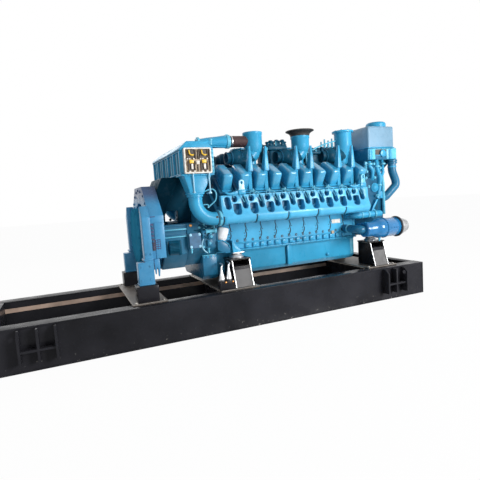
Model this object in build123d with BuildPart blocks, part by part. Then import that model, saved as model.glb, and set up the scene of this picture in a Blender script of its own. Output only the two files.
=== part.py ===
from build123d import *
import os
from math import cos, radians, sin, tan

# Large twin-bank diesel engine on a welded base frame.
# Millimetres. +X runs along the crankshaft to the free end, +Y across, +Z up.
# The origin is the middle of the base frame's underside.

# Base frame
frame_length = 6240.0
frame_width = 1720.0
rail_width = 200.0
rail_height = 500.0
flange_thick = 20.0
web_thick = 10.0
web_inset = 8.0
end_plate_thick = 12.0
cross_width = 140.0
cross_height = 360.0
cover_thick = 20.0
cover_inset = 100.0
drive_cover_length = 430.0
drive_cover_shift = 90.0
foot_cover_length = 560.0
left_cover_shift = -70.0

# Lifting lugs on the rails
lug_inset = 635.0
lug_length = 390.0
lug_reach = 120.0
lug_bottom = 110.0
lug_plate = 25.0
lug_shelf_z = 250.0
lug_corner = 60.0
lug_hole_r = 30.0
lug_hole_drop = 75.0
lug_hole_out = 55.0

# Pedestals, mounts and feet
left_foot_inset = 278.0
right_foot_reach = 230.0
pedestal_length = 265.0
pedestal_height = 380.0
pedestal_cap_in = 145.0
pedestal_cap_out = 140.0
pedestal_foot_in = 150.0
pedestal_foot_out = 250.0
pedestal_side = 14.0
pedestal_recess = 14.0
pedestal_window = 85.0
pedestal_cap = 20.0
mount_out = 80.0
mount_r = 100.0
mount_neck_r = 62.0
mount_height = 66.0
mount_base = 16.5
mount_neck = 13.2
foot_plate = 30.0
foot_length = 250.0
foot_reach = 200.0
gusset_thick = 24.0
gusset_height = 180.0
gusset_shift = -95.0
gusset_pitch = 70.0

# Engine layout
crank_over_frame = 790.0
bank_tilt = 45.0
cylinders = 10
cylinder_pitch = 240.0
engine_left = -240.0

# Crankcase, in the cross section
case_half = 410.0
case_floor = 290.0
case_shoulder = 90.0
deck_reach = 620.0
deck_half = 190.0
valley_half = 120.0
valley_rise = 390.0

# Oil pan
pan_inset = 80.0
pan_depth = 350.0
pan_chamfer = 60.0
pan_flange = 22.0
pan_flange_lip = 25.0
pan_rib = 36.0
pan_rib_proud = 14.0
pan_overhang = 20.0
sump_step_length = 210.0
sump_step_out = 60.0
sump_step_depth = 340.0
boss_size = 62.0
boss_proud = 26.0
boss_gap = 8.0

# Heads and covers, in the bank's own directions
head_length = 210.0
head_half = 160.0
head_thick = 230.0
cover_width = 125.0
cover_front_high = 235.0
cover_back_high = 145.0
cover_back_low = 40.0
cover_low_side = 120.0
cover_nose_side = 62.0
cover_back_side = 262.0
cover_round = 28.0

# Charge air pipes along the banks
manifold_y = 740.0
manifold_z = 180.0
manifold_r = 90.0
manifold_overhang = 35.0
clamp_width = 34.0
clamp_thick = 12.0
runner_clearance = 14.0
runner_thick = 70.0
runner_root = 45.0
port_width = 30.0
port_shift = -79.0
port_low = 32.5
port_high = 46.0
tall_window = 66.0
tall_window_height = 160.0
tall_window_shift = -28.0
tall_window_z = 362.0
upper_window = 58.0
upper_window_height = 88.0
upper_window_shift = 58.0
upper_window_z = 406.0
low_window = 100.0
low_window_height = 118.0
low_window_round = 30.0
low_window_shift = 92.0
low_window_z = 286.0

# Drive end
ring_depth = 175.0
ring_apothem = 650.0
ring_cut = 260.0
ring_skirt_r = 490.0
ring_bore_r = 440.0
ring_bolt_pcd = 930.0
ring_bolt_r = 11.0
ring_bolt_count = 12
ring_bolt_depth = 80.0
disc_r = 370.0
disc_out = 90.0
disc_thick = 60.0
disc_bolt_pcd = 580.0
disc_bolt_r = 12.0
disc_bolt_count = 8
shaft_r = 110.0
shaft_clearance = 15.0
grille_width = 110.0
grille_height = 140.0
grille_drop = 85.0
grille_proud = 12.0
grille_inset = 109.5
guard_inset = 20.0
guard_wall = 40.0
guard_top = 140.0
guard_floor = 460.0
guard_chamfer = 210.0
guard_rib = 18.0
guard_ribs = 3
guard_rib_pitch = 63.0
guard_length = 310.0
flywheel_nose = 140.0
flywheel_length = 280.0
flywheel_out = 150.0
flywheel_top = 500.0
flywheel_floor = 440.0
flywheel_chamfer = 230.0
post_width = 100.0
post_depth = 140.0
post_inner = 545.0
post_top = 400.0
post_shim = 25.0
post_foot_out = 90.0
post_foot_height = 285.0
block_shift = 50.0
block_length = 260.0
block_depth = 220.0
block_height = 200.0
junction_inset = 90.0
junction_size = 160.0
junction_height = 200.0
junction_depth = 55.0
junction_z = -90.0
starter_r = 68.0
starter_length = 140.0
starter_z = -215.0
starter_out = 80.0
filter_inset = 80.0
filter_r = 75.0
filter_height = 190.0
filter_z = -40.0
filter_standoff = 50.0
filter_arm_width = 75.0
filter_arm_height = 48.0

# Air cooler over the drive end
cooler_setback = 290.0
cooler_length = 380.0
cooler_half = 800.0
cooler_floor = 750.0
cooler_height = 290.0
cooler_rib = 34.0
cooler_rib_proud = 26.0
cooler_ribs = 6
lid_lip = 20.0
lid_edge = 24.0
lid_rise = 85.0
lid_slope = 95.0
bracket_left = 350.0
bracket_right = 210.0
bracket_drop = 190.0
bracket_leg = 95.0
bracket_lap = 40.0
bracket_skin = 30.0
hopper_length = 250.0
elbow_straight = 50.0
elbow_r = 80.0
elbow_bend = 280.0
elbow_drop = 40.0
elbow_collar = 24.0
elbow_collar_height = 34.0
hopper_foot = 176.0
panel_length = 350.0
panel_height = 310.0
panel_depth = 36.0
panel_rim = 26.0
panel_recess = 22.0

# Turbochargers and their carrier
carrier_half = 240.0
carrier_top = 860.0
carrier_root_half = 100.0
carrier_root_rise = 540.0
carrier_overhang = 60.0
turbo_pitch = 800.0
first_pot_inset = 750.0
pot_y = 250.0
pot_r = 136.0
pot_bore_r = 122.0
pot_bore_depth = 150.0
pot_neck_r = 80.0
pot_neck_rise = 70.0
pot_lean = 50.0
pot_flare_rise = 280.0
pot_top = 1350.0
exhaust_top = 1295.0
third_pot_top = 1375.0
third_cap_r = 165.0
third_cap_height = 24.0
pot_lip = 8.0
pot_lip_height = 30.0
far_pot_top = 1180.0
flange_r = 215.0
flange_rise = 75.0
flange_rim = 12.0
scroll_r = 130.0
scroll_length = 150.0
scroll_shift = -290.0
nozzle_r = 84.0
nozzle_length = 120.0
fin_y = 690.0
fin_width = 70.0
fin_depth = 110.0
fin_base = 770.0
fin_top = 1095.0
fin_tip_width = 22.0
fin_tip_depth = 32.0
fin_foot = 56.0
fin_foot_out = 15.0
fin_lean = 20.0
fin_every = 3
air_pipe_r = 72.0
take_off_rise = 1.0
take_off_shift = 130.0
take_off_length = 160.0
hose_length = 370.0
hose_r = 82.0
hose_flange_r = 96.0
hose_flange = 60.0

# Free end
gear_length = 570.0
gear_step = 20.0
gear_top = 610.0
column_inset = 310.0
column_length = 340.0
column_step = 120.0
column_height = 80.0
shelf_slope = 200.0
shelf_length = 580.0
shelf_height = 190.0
tank_lap = 20.0
tank_length = 530.0
tank_lap_side = 20.0
tank_height = 345.0
tank_round = 30.0
cap_r = 160.0
cap_height = 90.0
cap_round = 45.0
cap_y = 255.0
cap_shift = 70.0
duct_length = 450.0
duct_half = 100.0
duct_height = 300.0
pipe_r = 66.0
pipe_in = 50.0
pipe_inset = 60.0
pipe_swing_out = 75.0
pipe_drop = 180.0
pipe_swing = 170.0
pipe_fall = 70.0
pipe_foot_in = 160.0
pipe_turn = 190.0
pipe_bend = 95.0
bypass_r = 52.0
bypass_reach = 160.0
bypass_length = 500.0
bypass_shift = -160.0
bypass_z = 35.0
bypass_bend = 80.0
pump_r = 150.0
pump_shift = -110.0
pump_length = 620.0
pump_out = 310.0
pump_z = -180.0
pump_throat_r = 115.0
pump_throat = 230.0
pump_neck = 120.0
pump_neck_shift = 115.0
pump_ring = 30.0
pump_ring_lip = 12.0
pump_nose = 180.0
pump_nose_r = 88.0
eye_shift_left = 46.0
eye_shift_right = 96.0
eye_y = 800.0
eye_width = 72.0
eye_height = 192.0
eye_foot = 110.0
eye_foot_in = 718.0
eye_foot_height = 40.0
eye_thick = 24.0
eye_hole_r = 16.0

# Named clearance where round pieces meet
fit_gap = 0.3

# Heights worked out from the sizes above
crank_z = rail_height + crank_over_frame
deck_z = rail_height + cover_thick
pedestal_top_z = deck_z + pedestal_height
foot_z = pedestal_top_z + mount_height
case_floor_z = crank_z - case_floor
gear_top_z = crank_z + gear_top
shelf_z = gear_top_z + column_height + shelf_slope
tank_floor_z = shelf_z + shelf_height
manifold_mid_z = crank_z + manifold_z
elbow_top_z = manifold_mid_z + elbow_bend + elbow_drop
cooler_floor_z = crank_z + cooler_floor
cooler_top_z = cooler_floor_z + cooler_height
lid_top_z = cooler_top_z + lid_edge + lid_rise
air_pipe_z = lid_top_z + take_off_rise + air_pipe_r
carrier_top_z = crank_z + carrier_top
scroll_z = carrier_top_z + scroll_r
pot_top_z = crank_z + pot_top

# Places along the engine
engine_right = engine_left + cylinders * cylinder_pitch
gear_right = engine_right + gear_length
flywheel_step_x = engine_left - flywheel_length
flywheel_left_x = flywheel_step_x - flywheel_nose
ring_right_x = flywheel_left_x - guard_length
ring_left_x = ring_right_x - ring_depth
post_x = ring_left_x - post_width / 2
drive_cover_x = ring_left_x - drive_cover_shift
left_foot_x = engine_left + left_foot_inset
right_foot_x = engine_right + right_foot_reach
left_cover_x = left_foot_x + left_cover_shift
cooler_x = engine_left - cooler_setback
cooler_left = cooler_x - cooler_length / 2
cooler_right = cooler_x + cooler_length / 2
elbow_x = engine_left - elbow_straight - elbow_bend
take_off_x = cooler_x + take_off_shift
first_pot_x = engine_left + first_pot_inset
hose_left_x = first_pot_x - hose_length
column_left_x = engine_right + column_inset
tank_left_x = column_left_x - tank_lap
tank_x = tank_left_x + tank_length / 2
pipe_top_x = column_left_x + shelf_length - pipe_inset
cylinder_places = [engine_left + (i + 0.5) * cylinder_pitch for i in range(cylinders)]
gap_places = [engine_left + (i + 1) * cylinder_pitch for i in range(cylinders - 1)]
pot_places = [first_pot_x + i * turbo_pitch for i in range(3)]

# Places across the frame and the engine
half_width = frame_width / 2
gear_half = case_half + gear_step
pan_half = case_half - pan_inset
flywheel_half = case_half + flywheel_out
guard_half = flywheel_half - guard_inset
pipe_y = gear_half - pipe_in
shelf_half = gear_half
column_half = gear_half - column_step
tank_half = shelf_half + tank_lap_side
pump_y = gear_half + pump_out
sump_step_half = case_half + sump_step_out
mount_y = case_half + mount_out
pedestal_top_in = mount_y - pedestal_cap_in
pedestal_top_out = mount_y + pedestal_cap_out
pedestal_base_in = mount_y - pedestal_foot_in
pedestal_base_out = mount_y + pedestal_foot_out
rail_y = half_width - rail_width / 2
bay_half = half_width - rail_width
cover_half = half_width - cover_inset
end_member_x = frame_length / 2 - end_plate_thick - cross_width / 2
head_top = deck_reach + head_thick
runner_inner = -manifold_y + runner_thick / 2
runner_outer = -manifold_y - runner_thick / 2
manifold_right = engine_right - manifold_overhang


def bank_point(reach, side):
    """Y and Z of a point on the near bank: reach along the bore, side towards the valley."""
    a = radians(bank_tilt)
    y = -reach * sin(a) + side * cos(a)
    z = crank_z + reach * cos(a) + side * sin(a)
    return (y, z)


def block(x0, x1, y0, y1, z0, z1, mode=Mode.ADD):
    """A plain block between two corners."""
    with Locations(((x0 + x1) / 2, (y0 + y1) / 2, (z0 + z1) / 2)):
        Box(x1 - x0, y1 - y0, z1 - z0, mode=mode)


def slab_x(points, x0, x1, mode=Mode.ADD):
    """An outline in Y and Z, drawn through from x0 to x1."""
    with BuildSketch(Plane.YZ.offset(x0)) as outline:
        with BuildLine():
            Polyline(*points, close=True)
        make_face()
    extrude(outline.sketch, amount=x1 - x0, mode=mode)


def slab_y(points, y0, y1, mode=Mode.ADD):
    """An outline in X and Z, drawn through from y1 to y0."""
    with BuildSketch(Plane.XZ.offset(-y1)) as outline:
        with BuildLine():
            Polyline(*points, close=True)
        make_face()
    extrude(outline.sketch, amount=y1 - y0, mode=mode)


def rod_x(x0, x1, y, z, r, mode=Mode.ADD):
    """A round bar along X."""
    with BuildSketch(Plane.YZ.offset(x0)) as section:
        with Locations((y, z)):
            Circle(r)
    extrude(section.sketch, amount=x1 - x0, mode=mode)


def rod_z(x, y, z0, z1, r, mode=Mode.ADD):
    """A round bar along Z."""
    with BuildSketch(Plane.XY.offset(z0)) as section:
        with Locations((x, y)):
            Circle(r)
    extrude(section.sketch, amount=z1 - z0, mode=mode)


def cone_z(x, y, z0, z1, r0, r1, lean=0.0):
    """A round bar along Z that changes radius, its foot set back in X by the lean."""
    with BuildSketch(Plane.XY.offset(z0)) as low:
        with Locations((x - lean, y)):
            Circle(r0)
    with BuildSketch(Plane.XY.offset(z1)) as high:
        with Locations((x, y)):
            Circle(r1)
    loft([low.sketch.face(), high.sketch.face()])


def both_sides(points):
    """Closes a near-side outline by repeating it on the far side."""
    return points + [(-y, z) for y, z in reversed(points)]


def save(piece, label):
    piece.part.label = label
    export_step(piece.part, f"parts/{label}.step")


os.makedirs("parts", exist_ok=True)


# Base frame: two boxed rails, closed at the ends
def make_rail(side):
    with BuildPart() as rail:
        with BuildSketch(Plane.YZ.offset(-frame_length / 2 + end_plate_thick)):
            with Locations((side * rail_y, rail_height / 2)):
                Rectangle(rail_width, rail_height)
            for edge in (-1, 1):
                with Locations((side * rail_y + edge * (rail_width - web_inset) / 2, rail_height / 2)):
                    Rectangle(web_inset, rail_height - 2 * flange_thick, mode=Mode.SUBTRACT)
            with Locations((side * rail_y, rail_height / 2)):
                inner_width = rail_width - 2 * web_inset - 2 * web_thick
                Rectangle(inner_width, rail_height - 2 * flange_thick, mode=Mode.SUBTRACT)
        extrude(amount=frame_length - 2 * end_plate_thick)
    return rail


save(make_rail(-1), "rail_near")
save(make_rail(1), "rail_far")

with BuildPart() as rail_end_plates:
    for end in (-1, 1):
        plate_x = end * (frame_length - end_plate_thick) / 2
        for side in (-1, 1):
            with Locations((plate_x, side * rail_y, rail_height / 2)):
                Box(end_plate_thick, rail_width, rail_height)
save(rail_end_plates, "rail_end_plates")

with BuildPart() as cross_members:
    for x in (-end_member_x, drive_cover_x, left_cover_x, right_foot_x, end_member_x):
        with Locations((x, 0, rail_height - cross_height / 2)):
            Box(cross_width, 2 * bay_half, cross_height)
save(cross_members, "cross_members")

with BuildPart() as cover_plates:
    plates = ((drive_cover_x, drive_cover_length), (left_cover_x, foot_cover_length),
              (right_foot_x, foot_cover_length))
    for x, length in plates:
        with Locations((x, 0, rail_height + cover_thick / 2)):
            Box(length, 2 * cover_half, cover_thick)
save(cover_plates, "cover_plates")

# Lifting lugs: two ears, a middle web and a shelf on each rail's outer side
with BuildPart() as lifting_lugs:
    lug_face = half_width - web_inset
    lug_tip = half_width + lug_reach
    lug_x = frame_length / 2 - lug_inset
    ear_reach = (lug_length - lug_plate) / 2
    for x, outward in ((-lug_x, -1), (lug_x, 1)):
        for ear_side in (-1, 1):
            with BuildSketch(Plane.YZ.offset(x + ear_side * ear_reach - lug_plate / 2)):
                with BuildLine():
                    Polyline((lug_face, lug_bottom), (lug_tip, lug_bottom),
                             (lug_tip, rail_height - flange_thick - lug_corner),
                             (lug_tip - lug_corner, rail_height - flange_thick),
                             (lug_face, rail_height - flange_thick), close=True)
                make_face()
                if ear_side == outward:
                    with Locations((lug_tip - lug_hole_out, rail_height - flange_thick - lug_hole_drop)):
                        Circle(lug_hole_r, mode=Mode.SUBTRACT)
            extrude(amount=lug_plate)
        block(x - lug_plate / 2, x + lug_plate / 2, lug_face, lug_tip - lug_plate,
              lug_bottom, rail_height - flange_thick)
        block(x - lug_length / 2, x + lug_length / 2, lug_face, lug_tip - lug_plate,
              lug_shelf_z - lug_plate / 2, lug_shelf_z + lug_plate / 2)
    mirror(about=Plane.XZ)
save(lifting_lugs, "lifting_lugs")


# Pedestals: side plates stand proud of a leaning front with a window near its top
with BuildPart() as pedestals:
    cap_floor = pedestal_top_z - pedestal_cap
    cheek = [(-pedestal_base_out, deck_z), (-pedestal_top_out, cap_floor), (-pedestal_top_in, cap_floor),
             (-pedestal_base_in, deck_z)]
    core = [(-pedestal_base_out + pedestal_recess, deck_z),
            (-pedestal_top_out + pedestal_recess, cap_floor),
            (-pedestal_top_in - pedestal_recess, cap_floor),
            (-pedestal_base_in - pedestal_recess, deck_z)]
    for x in (left_foot_x, right_foot_x):
        left = x - pedestal_length / 2
        right = x + pedestal_length / 2
        slab_x(cheek, left, left + pedestal_side)
        slab_x(cheek, right - pedestal_side, right)
        slab_x(core, left + pedestal_side, right - pedestal_side)
        block(left + pedestal_side, right - pedestal_side, -pedestal_base_out,
              -pedestal_top_in - pedestal_recess - pedestal_side,
              cap_floor - pedestal_window, cap_floor, mode=Mode.SUBTRACT)
        block(left - pedestal_side, right + pedestal_side, -pedestal_top_out - pedestal_side,
              -pedestal_top_in, cap_floor, pedestal_top_z)
    mirror(about=Plane.XZ)
save(pedestals, "pedestals")

with BuildPart() as rubber_mounts:
    for x in (left_foot_x, right_foot_x):
        with BuildSketch(Plane.XZ.offset(mount_y)):
            with BuildLine():
                Polyline((x, pedestal_top_z), (x + mount_r, pedestal_top_z),
                         (x + mount_r, pedestal_top_z + mount_base),
                         (x + mount_neck_r, foot_z - mount_neck),
                         (x + mount_neck_r, foot_z), (x, foot_z), close=True)
            make_face()
        revolve(axis=Axis((x, -mount_y, 0), (0, 0, 1)))
    mirror(about=Plane.XZ)
save(rubber_mounts, "rubber_mounts")

with BuildPart() as engine_feet:
    for x in (left_foot_x, right_foot_x):
        wall = case_half if x < engine_right else gear_half
        root = wall + pan_flange_lip
        tip = wall + foot_reach
        plate_top = foot_z + foot_plate
        block(x - foot_length / 2, x + foot_length / 2, -tip, -root, foot_z, plate_top)
        for i in range(2):
            gusset_x = x + gusset_shift + i * gusset_pitch
            slab_x([(-tip + gusset_thick, plate_top), (-root, plate_top), (-root, case_floor_z),
                    (-wall, case_floor_z), (-wall, foot_z + gusset_height)],
                   gusset_x, gusset_x + gusset_thick)
    mirror(about=Plane.XZ)
save(engine_feet, "engine_feet")

# Oil pan and crankcase
with BuildPart() as oil_pan:
    pan_floor_z = case_floor_z - pan_flange - pan_depth
    pan_right = engine_right + pan_overhang
    profile = [(-pan_half, case_floor_z - pan_flange), (-pan_half, pan_floor_z + pan_chamfer),
               (-pan_half + pan_chamfer, pan_floor_z)]
    slab_x(both_sides(profile), engine_left, pan_right)
    rib_x = (engine_left + engine_right) / 2
    rib = [(-pan_half - pan_rib_proud, case_floor_z - pan_flange),
           (-pan_half - pan_rib_proud, pan_floor_z + pan_chamfer),
           (-pan_half + pan_chamfer, pan_floor_z)]
    slab_x(both_sides(rib), rib_x - pan_rib / 2, rib_x + pan_rib / 2)
    lip = case_half + pan_flange_lip
    block(engine_left, engine_right, -lip, lip, case_floor_z - pan_flange, case_floor_z)
save(oil_pan, "oil_pan")

with BuildPart() as crankcase:
    section = [(-case_half, case_floor_z), (-case_half, crank_z + case_shoulder),
               bank_point(deck_reach, -deck_half), bank_point(deck_reach, deck_half),
               (-valley_half, crank_z + valley_rise)]
    slab_x(both_sides(section), engine_left, engine_right)
save(crankcase, "crankcase")

with BuildPart() as side_bosses:
    boss_z = case_floor_z + boss_gap + boss_size / 2
    spacing = cylinder_pitch / 2
    for i in range(2 * cylinders - 3):
        boss_x = engine_left + (i + 2) * spacing
        if abs(boss_x - left_foot_x) > (foot_length + boss_size) / 2:
            with Locations((boss_x, -case_half - boss_proud / 2, boss_z)):
                Box(boss_size, boss_proud, boss_size)
    mirror(about=Plane.XZ)
save(side_bosses, "side_bosses")

with BuildPart() as sump_step:
    step_top = case_floor_z - pan_flange
    outline = [(-sump_step_half, step_top), (-sump_step_half, step_top - sump_step_depth + pan_chamfer),
               (-sump_step_half + pan_chamfer, step_top - sump_step_depth)]
    slab_x(both_sides(outline), engine_left - sump_step_length, engine_left)
save(sump_step, "sump_step")

# Cylinder heads and their rounded covers, one for each cylinder
with BuildPart() as cylinder_heads:
    head_outline = [bank_point(deck_reach, -head_half), bank_point(head_top, -head_half),
                    bank_point(head_top, head_half), bank_point(deck_reach, head_half)]
    for x in cylinder_places:
        slab_x(head_outline, x - head_length / 2, x + head_length / 2)
    mirror(about=Plane.XZ)
save(cylinder_heads, "cylinder_heads")

with BuildPart() as head_covers:
    cover_outline = [bank_point(head_top, -cover_low_side),
                     bank_point(head_top + cover_front_high, -cover_nose_side),
                     bank_point(head_top + cover_back_high, cover_back_side),
                     bank_point(head_top + cover_back_low, cover_back_side),
                     bank_point(head_top, head_half)]
    for x in cylinder_places:
        with BuildSketch(Plane.YZ.offset(x - cover_width / 2)):
            with BuildLine():
                FilletPolyline(*cover_outline, radius=cover_round)
                Line(cover_outline[-1], cover_outline[0])
            make_face()
        extrude(amount=cover_width)
    mirror(about=Plane.XZ)
save(head_covers, "head_covers")

# Charge air pipe along each bank, and the windowed casting that rises from it
with BuildPart() as air_manifolds:
    for side in (-1, 1):
        rod_x(engine_left, manifold_right, side * manifold_y, manifold_mid_z, manifold_r)
save(air_manifolds, "air_manifolds")

corner_y, corner_z = bank_point(head_top, -head_half)
runner_top_z = corner_z - (runner_inner - corner_y) * tan(radians(bank_tilt)) - runner_clearance

with BuildPart() as runner_banks:
    block(engine_left, manifold_right, runner_outer, runner_inner, manifold_mid_z + runner_root,
          runner_top_z)
    rod_x(engine_left, manifold_right, -manifold_y, manifold_mid_z, manifold_r + fit_gap, Mode.SUBTRACT)
    for x in cylinder_places:
        with BuildSketch(Plane.XZ.offset(-runner_outer)):
            with Locations((x + tall_window_shift, crank_z + tall_window_z)):
                SlotOverall(tall_window_height, tall_window, rotation=90)
            with Locations((x + upper_window_shift, crank_z + upper_window_z)):
                SlotOverall(upper_window_height, upper_window, rotation=90)
            with Locations((x + low_window_shift, crank_z + low_window_z)):
                RectangleRounded(low_window, low_window_height, low_window_round)
        extrude(amount=-runner_thick, mode=Mode.SUBTRACT)
    for x in cylinder_places:
        low = bank_point(deck_reach + port_low, -head_half)
        high = bank_point(head_top - port_high, -head_half)
        slab_x([low, high, (runner_inner, high[1]), (runner_inner, low[1] - port_low)],
               x + port_shift - port_width / 2, x + port_shift + port_width / 2)
    mirror(about=Plane.XZ)
save(runner_banks, "runner_banks")

with BuildPart() as manifold_clamps:
    for x in [engine_left + clamp_width / 2] + gap_places[1::2]:
        for r, mode in ((manifold_r + clamp_thick, Mode.ADD), (manifold_r + fit_gap, Mode.SUBTRACT)):
            rod_x(x - clamp_width / 2, x + clamp_width / 2, -manifold_y, manifold_mid_z, r, mode)
    block(engine_left, engine_right, -manifold_y - runner_thick / 2 - fit_gap,
          -manifold_y + runner_thick / 2 + fit_gap, manifold_mid_z + runner_root,
          manifold_mid_z + 2 * manifold_r, mode=Mode.SUBTRACT)
    mirror(about=Plane.XZ)
save(manifold_clamps, "manifold_clamps")

# Drive end: flat-bottomed octagonal ring housing, coupling, open-topped guard and flywheel housing
with BuildPart() as ring_housing:
    with BuildSketch(Plane.YZ.offset(ring_left_x)):
        with Locations((0, crank_z)):
            RegularPolygon(ring_apothem, 8, major_radius=False, rotation=22.5)
        with Locations((0, crank_z - ring_cut - ring_apothem)):
            Rectangle(2 * ring_apothem, 2 * ring_apothem, mode=Mode.SUBTRACT)
        with Locations((0, crank_z)):
            Circle(ring_skirt_r)
    extrude(amount=ring_depth)
    rod_x(ring_left_x, ring_left_x + disc_thick, 0, crank_z, ring_bore_r, Mode.SUBTRACT)
    rod_x(ring_left_x, ring_right_x, 0, crank_z, shaft_r + shaft_clearance, Mode.SUBTRACT)
    with BuildSketch(Plane.YZ.offset(ring_left_x)):
        with Locations((0, crank_z)):
            with PolarLocations(ring_bolt_pcd / 2, ring_bolt_count, 180 / ring_bolt_count):
                Circle(ring_bolt_r)
    extrude(amount=ring_bolt_depth, mode=Mode.SUBTRACT)
save(ring_housing, "ring_housing")

with BuildPart() as drive_coupling:
    rod_x(ring_left_x - disc_out, ring_left_x + disc_thick, 0, crank_z, disc_r)
    rod_x(ring_left_x + disc_thick, flywheel_step_x, 0, crank_z, shaft_r)
    with BuildSketch(Plane.YZ.offset(ring_left_x - disc_out)):
        with Locations((0, crank_z)):
            with PolarLocations(disc_bolt_pcd / 2, disc_bolt_count, 180 / disc_bolt_count):
                Circle(disc_bolt_r)
    extrude(amount=disc_thick, mode=Mode.SUBTRACT)
save(drive_coupling, "drive_coupling")

with BuildPart() as ring_grilles:
    middle_x = ring_right_x - grille_inset
    with Locations((middle_x, -ring_apothem - grille_proud / 2, crank_z - grille_drop)):
        Box(grille_width, grille_proud, grille_height)
    mirror(about=Plane.XZ)
save(ring_grilles, "ring_grilles")

with BuildPart() as coupling_guard:
    guard_low_z = crank_z - guard_floor
    trough = [(-guard_half, crank_z + guard_top), (-guard_half, guard_low_z + guard_chamfer),
              (-guard_half + guard_chamfer, guard_low_z)]
    inner_half = guard_half - guard_wall
    hollow = [(-inner_half, crank_z + guard_top), (-inner_half, guard_low_z + guard_chamfer + guard_wall / 2),
              (-inner_half + guard_chamfer - guard_wall / 2, guard_low_z + guard_wall)]
    slab_x(both_sides(trough), ring_right_x, flywheel_left_x)
    slab_x(both_sides(hollow), ring_right_x, flywheel_left_x, mode=Mode.SUBTRACT)
    for i in range(guard_ribs):
        rib_z = crank_z + guard_top - guard_rib - i * guard_rib_pitch
        block(ring_right_x, flywheel_left_x, -guard_half - guard_rib, -guard_half,
              rib_z - guard_rib / 2, rib_z + guard_rib / 2)
        block(ring_right_x, flywheel_left_x, guard_half, guard_half + guard_rib,
              rib_z - guard_rib / 2, rib_z + guard_rib / 2)
save(coupling_guard, "coupling_guard")

with BuildPart() as flywheel_housing:
    low_z = crank_z - flywheel_floor
    lower = [(-flywheel_half, crank_z + guard_top), (-flywheel_half, low_z + flywheel_chamfer),
             (-flywheel_half + flywheel_chamfer, low_z)]
    whole = [(-flywheel_half + flywheel_chamfer, crank_z + flywheel_top),
             (-flywheel_half, crank_z + flywheel_top - flywheel_chamfer),
             (-flywheel_half, low_z + flywheel_chamfer), (-flywheel_half + flywheel_chamfer, low_z)]
    slab_x(both_sides(lower), flywheel_left_x, flywheel_step_x)
    rod_x(flywheel_left_x, flywheel_step_x, 0, crank_z, shaft_r + shaft_clearance, Mode.SUBTRACT)
    slab_x(both_sides(whole), flywheel_step_x, engine_left)
    block(engine_left - sump_step_length, engine_left, -flywheel_half, flywheel_half,
          low_z, case_floor_z - pan_flange, mode=Mode.SUBTRACT)
save(flywheel_housing, "flywheel_housing")

with BuildPart() as support_posts:
    foot_top = deck_z + block_height
    leg = [(-post_inner - post_depth, foot_top + post_shim), (-post_inner, foot_top + post_shim),
           (-post_inner, crank_z + post_top), (-post_inner - post_depth, crank_z + post_top - post_depth)]
    slab_x(leg, ring_left_x - post_width, ring_left_x)
    block(ring_left_x - post_width - post_foot_out, ring_left_x, -post_inner - post_depth, -post_inner,
          foot_top, foot_top + post_foot_height)
    mirror(about=Plane.XZ)
save(support_posts, "support_posts")

with BuildPart() as post_blocks:
    block_x = post_x - block_shift
    for side in (-1, 1):
        with Locations((block_x, side * (post_inner + post_depth / 2), deck_z + block_height / 2)):
            Box(block_length, block_depth, block_height)
save(post_blocks, "post_blocks")

with BuildPart() as junction_boxes:
    for side in (-1, 1):
        with Locations((flywheel_left_x + junction_inset, side * (flywheel_half + junction_depth / 2),
                        crank_z + junction_z)):
            Box(junction_size, junction_depth, junction_height)
save(junction_boxes, "junction_boxes")

with BuildPart() as starter_motors:
    for side in (-1, 1):
        rod_x(engine_left, engine_left + starter_length, side * (case_half + starter_out),
              crank_z + starter_z, starter_r)
save(starter_motors, "starter_motors")

with BuildPart() as fuel_filter:
    filter_x = engine_left + filter_inset
    centre_y = -case_half - filter_standoff - filter_r
    rod_z(filter_x, centre_y, crank_z + filter_z - filter_height / 2,
          crank_z + filter_z + filter_height / 2, filter_r)
    block(filter_x - filter_arm_width / 2, filter_x + filter_arm_width / 2, centre_y, -case_half,
          crank_z + filter_z + filter_height / 2 - filter_arm_height,
          crank_z + filter_z + filter_height / 2)
save(fuel_filter, "fuel_filter")

# Air cooler across the engine, its bracket, lid, hoppers and elbows
with BuildPart() as cooler_bracket:
    bracket_half = flywheel_half - flywheel_chamfer
    top_z = cooler_floor_z
    shoulder_z = crank_z + flywheel_top
    guard_z = crank_z + guard_top
    window_z = shoulder_z - bracket_drop
    slab_y([(cooler_x - bracket_left, top_z), (ring_right_x, top_z - bracket_drop), (ring_right_x, guard_z),
            (ring_right_x + bracket_leg, guard_z), (ring_right_x + bracket_leg, window_z),
            (flywheel_left_x - bracket_lap, window_z), (flywheel_left_x - bracket_lap, guard_z),
            (flywheel_step_x, guard_z), (flywheel_step_x, shoulder_z),
            (cooler_x + bracket_right, shoulder_z), (cooler_x + bracket_right, top_z)],
           -bracket_half, bracket_half)
    block(ring_right_x + bracket_leg, flywheel_step_x - bracket_skin, bracket_skin - bracket_half,
          bracket_half, guard_z, window_z, mode=Mode.SUBTRACT)
save(cooler_bracket, "cooler_bracket")

with BuildPart() as cooler_casing:
    block(cooler_left, cooler_right, -cooler_half, cooler_half, cooler_floor_z, cooler_top_z)
    rib_pitch = 2 * (cooler_half - cooler_rib) / (cooler_ribs - 1)
    for i in range(cooler_ribs):
        rib_y = -cooler_half + cooler_rib + i * rib_pitch
        block(cooler_left - cooler_rib_proud, cooler_left, rib_y - cooler_rib / 2, rib_y + cooler_rib / 2,
              cooler_floor_z, cooler_top_z)
        block(cooler_right, cooler_right + cooler_rib_proud, rib_y - cooler_rib / 2, rib_y + cooler_rib / 2,
              cooler_floor_z, cooler_top_z)
save(cooler_casing, "cooler_casing")

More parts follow.
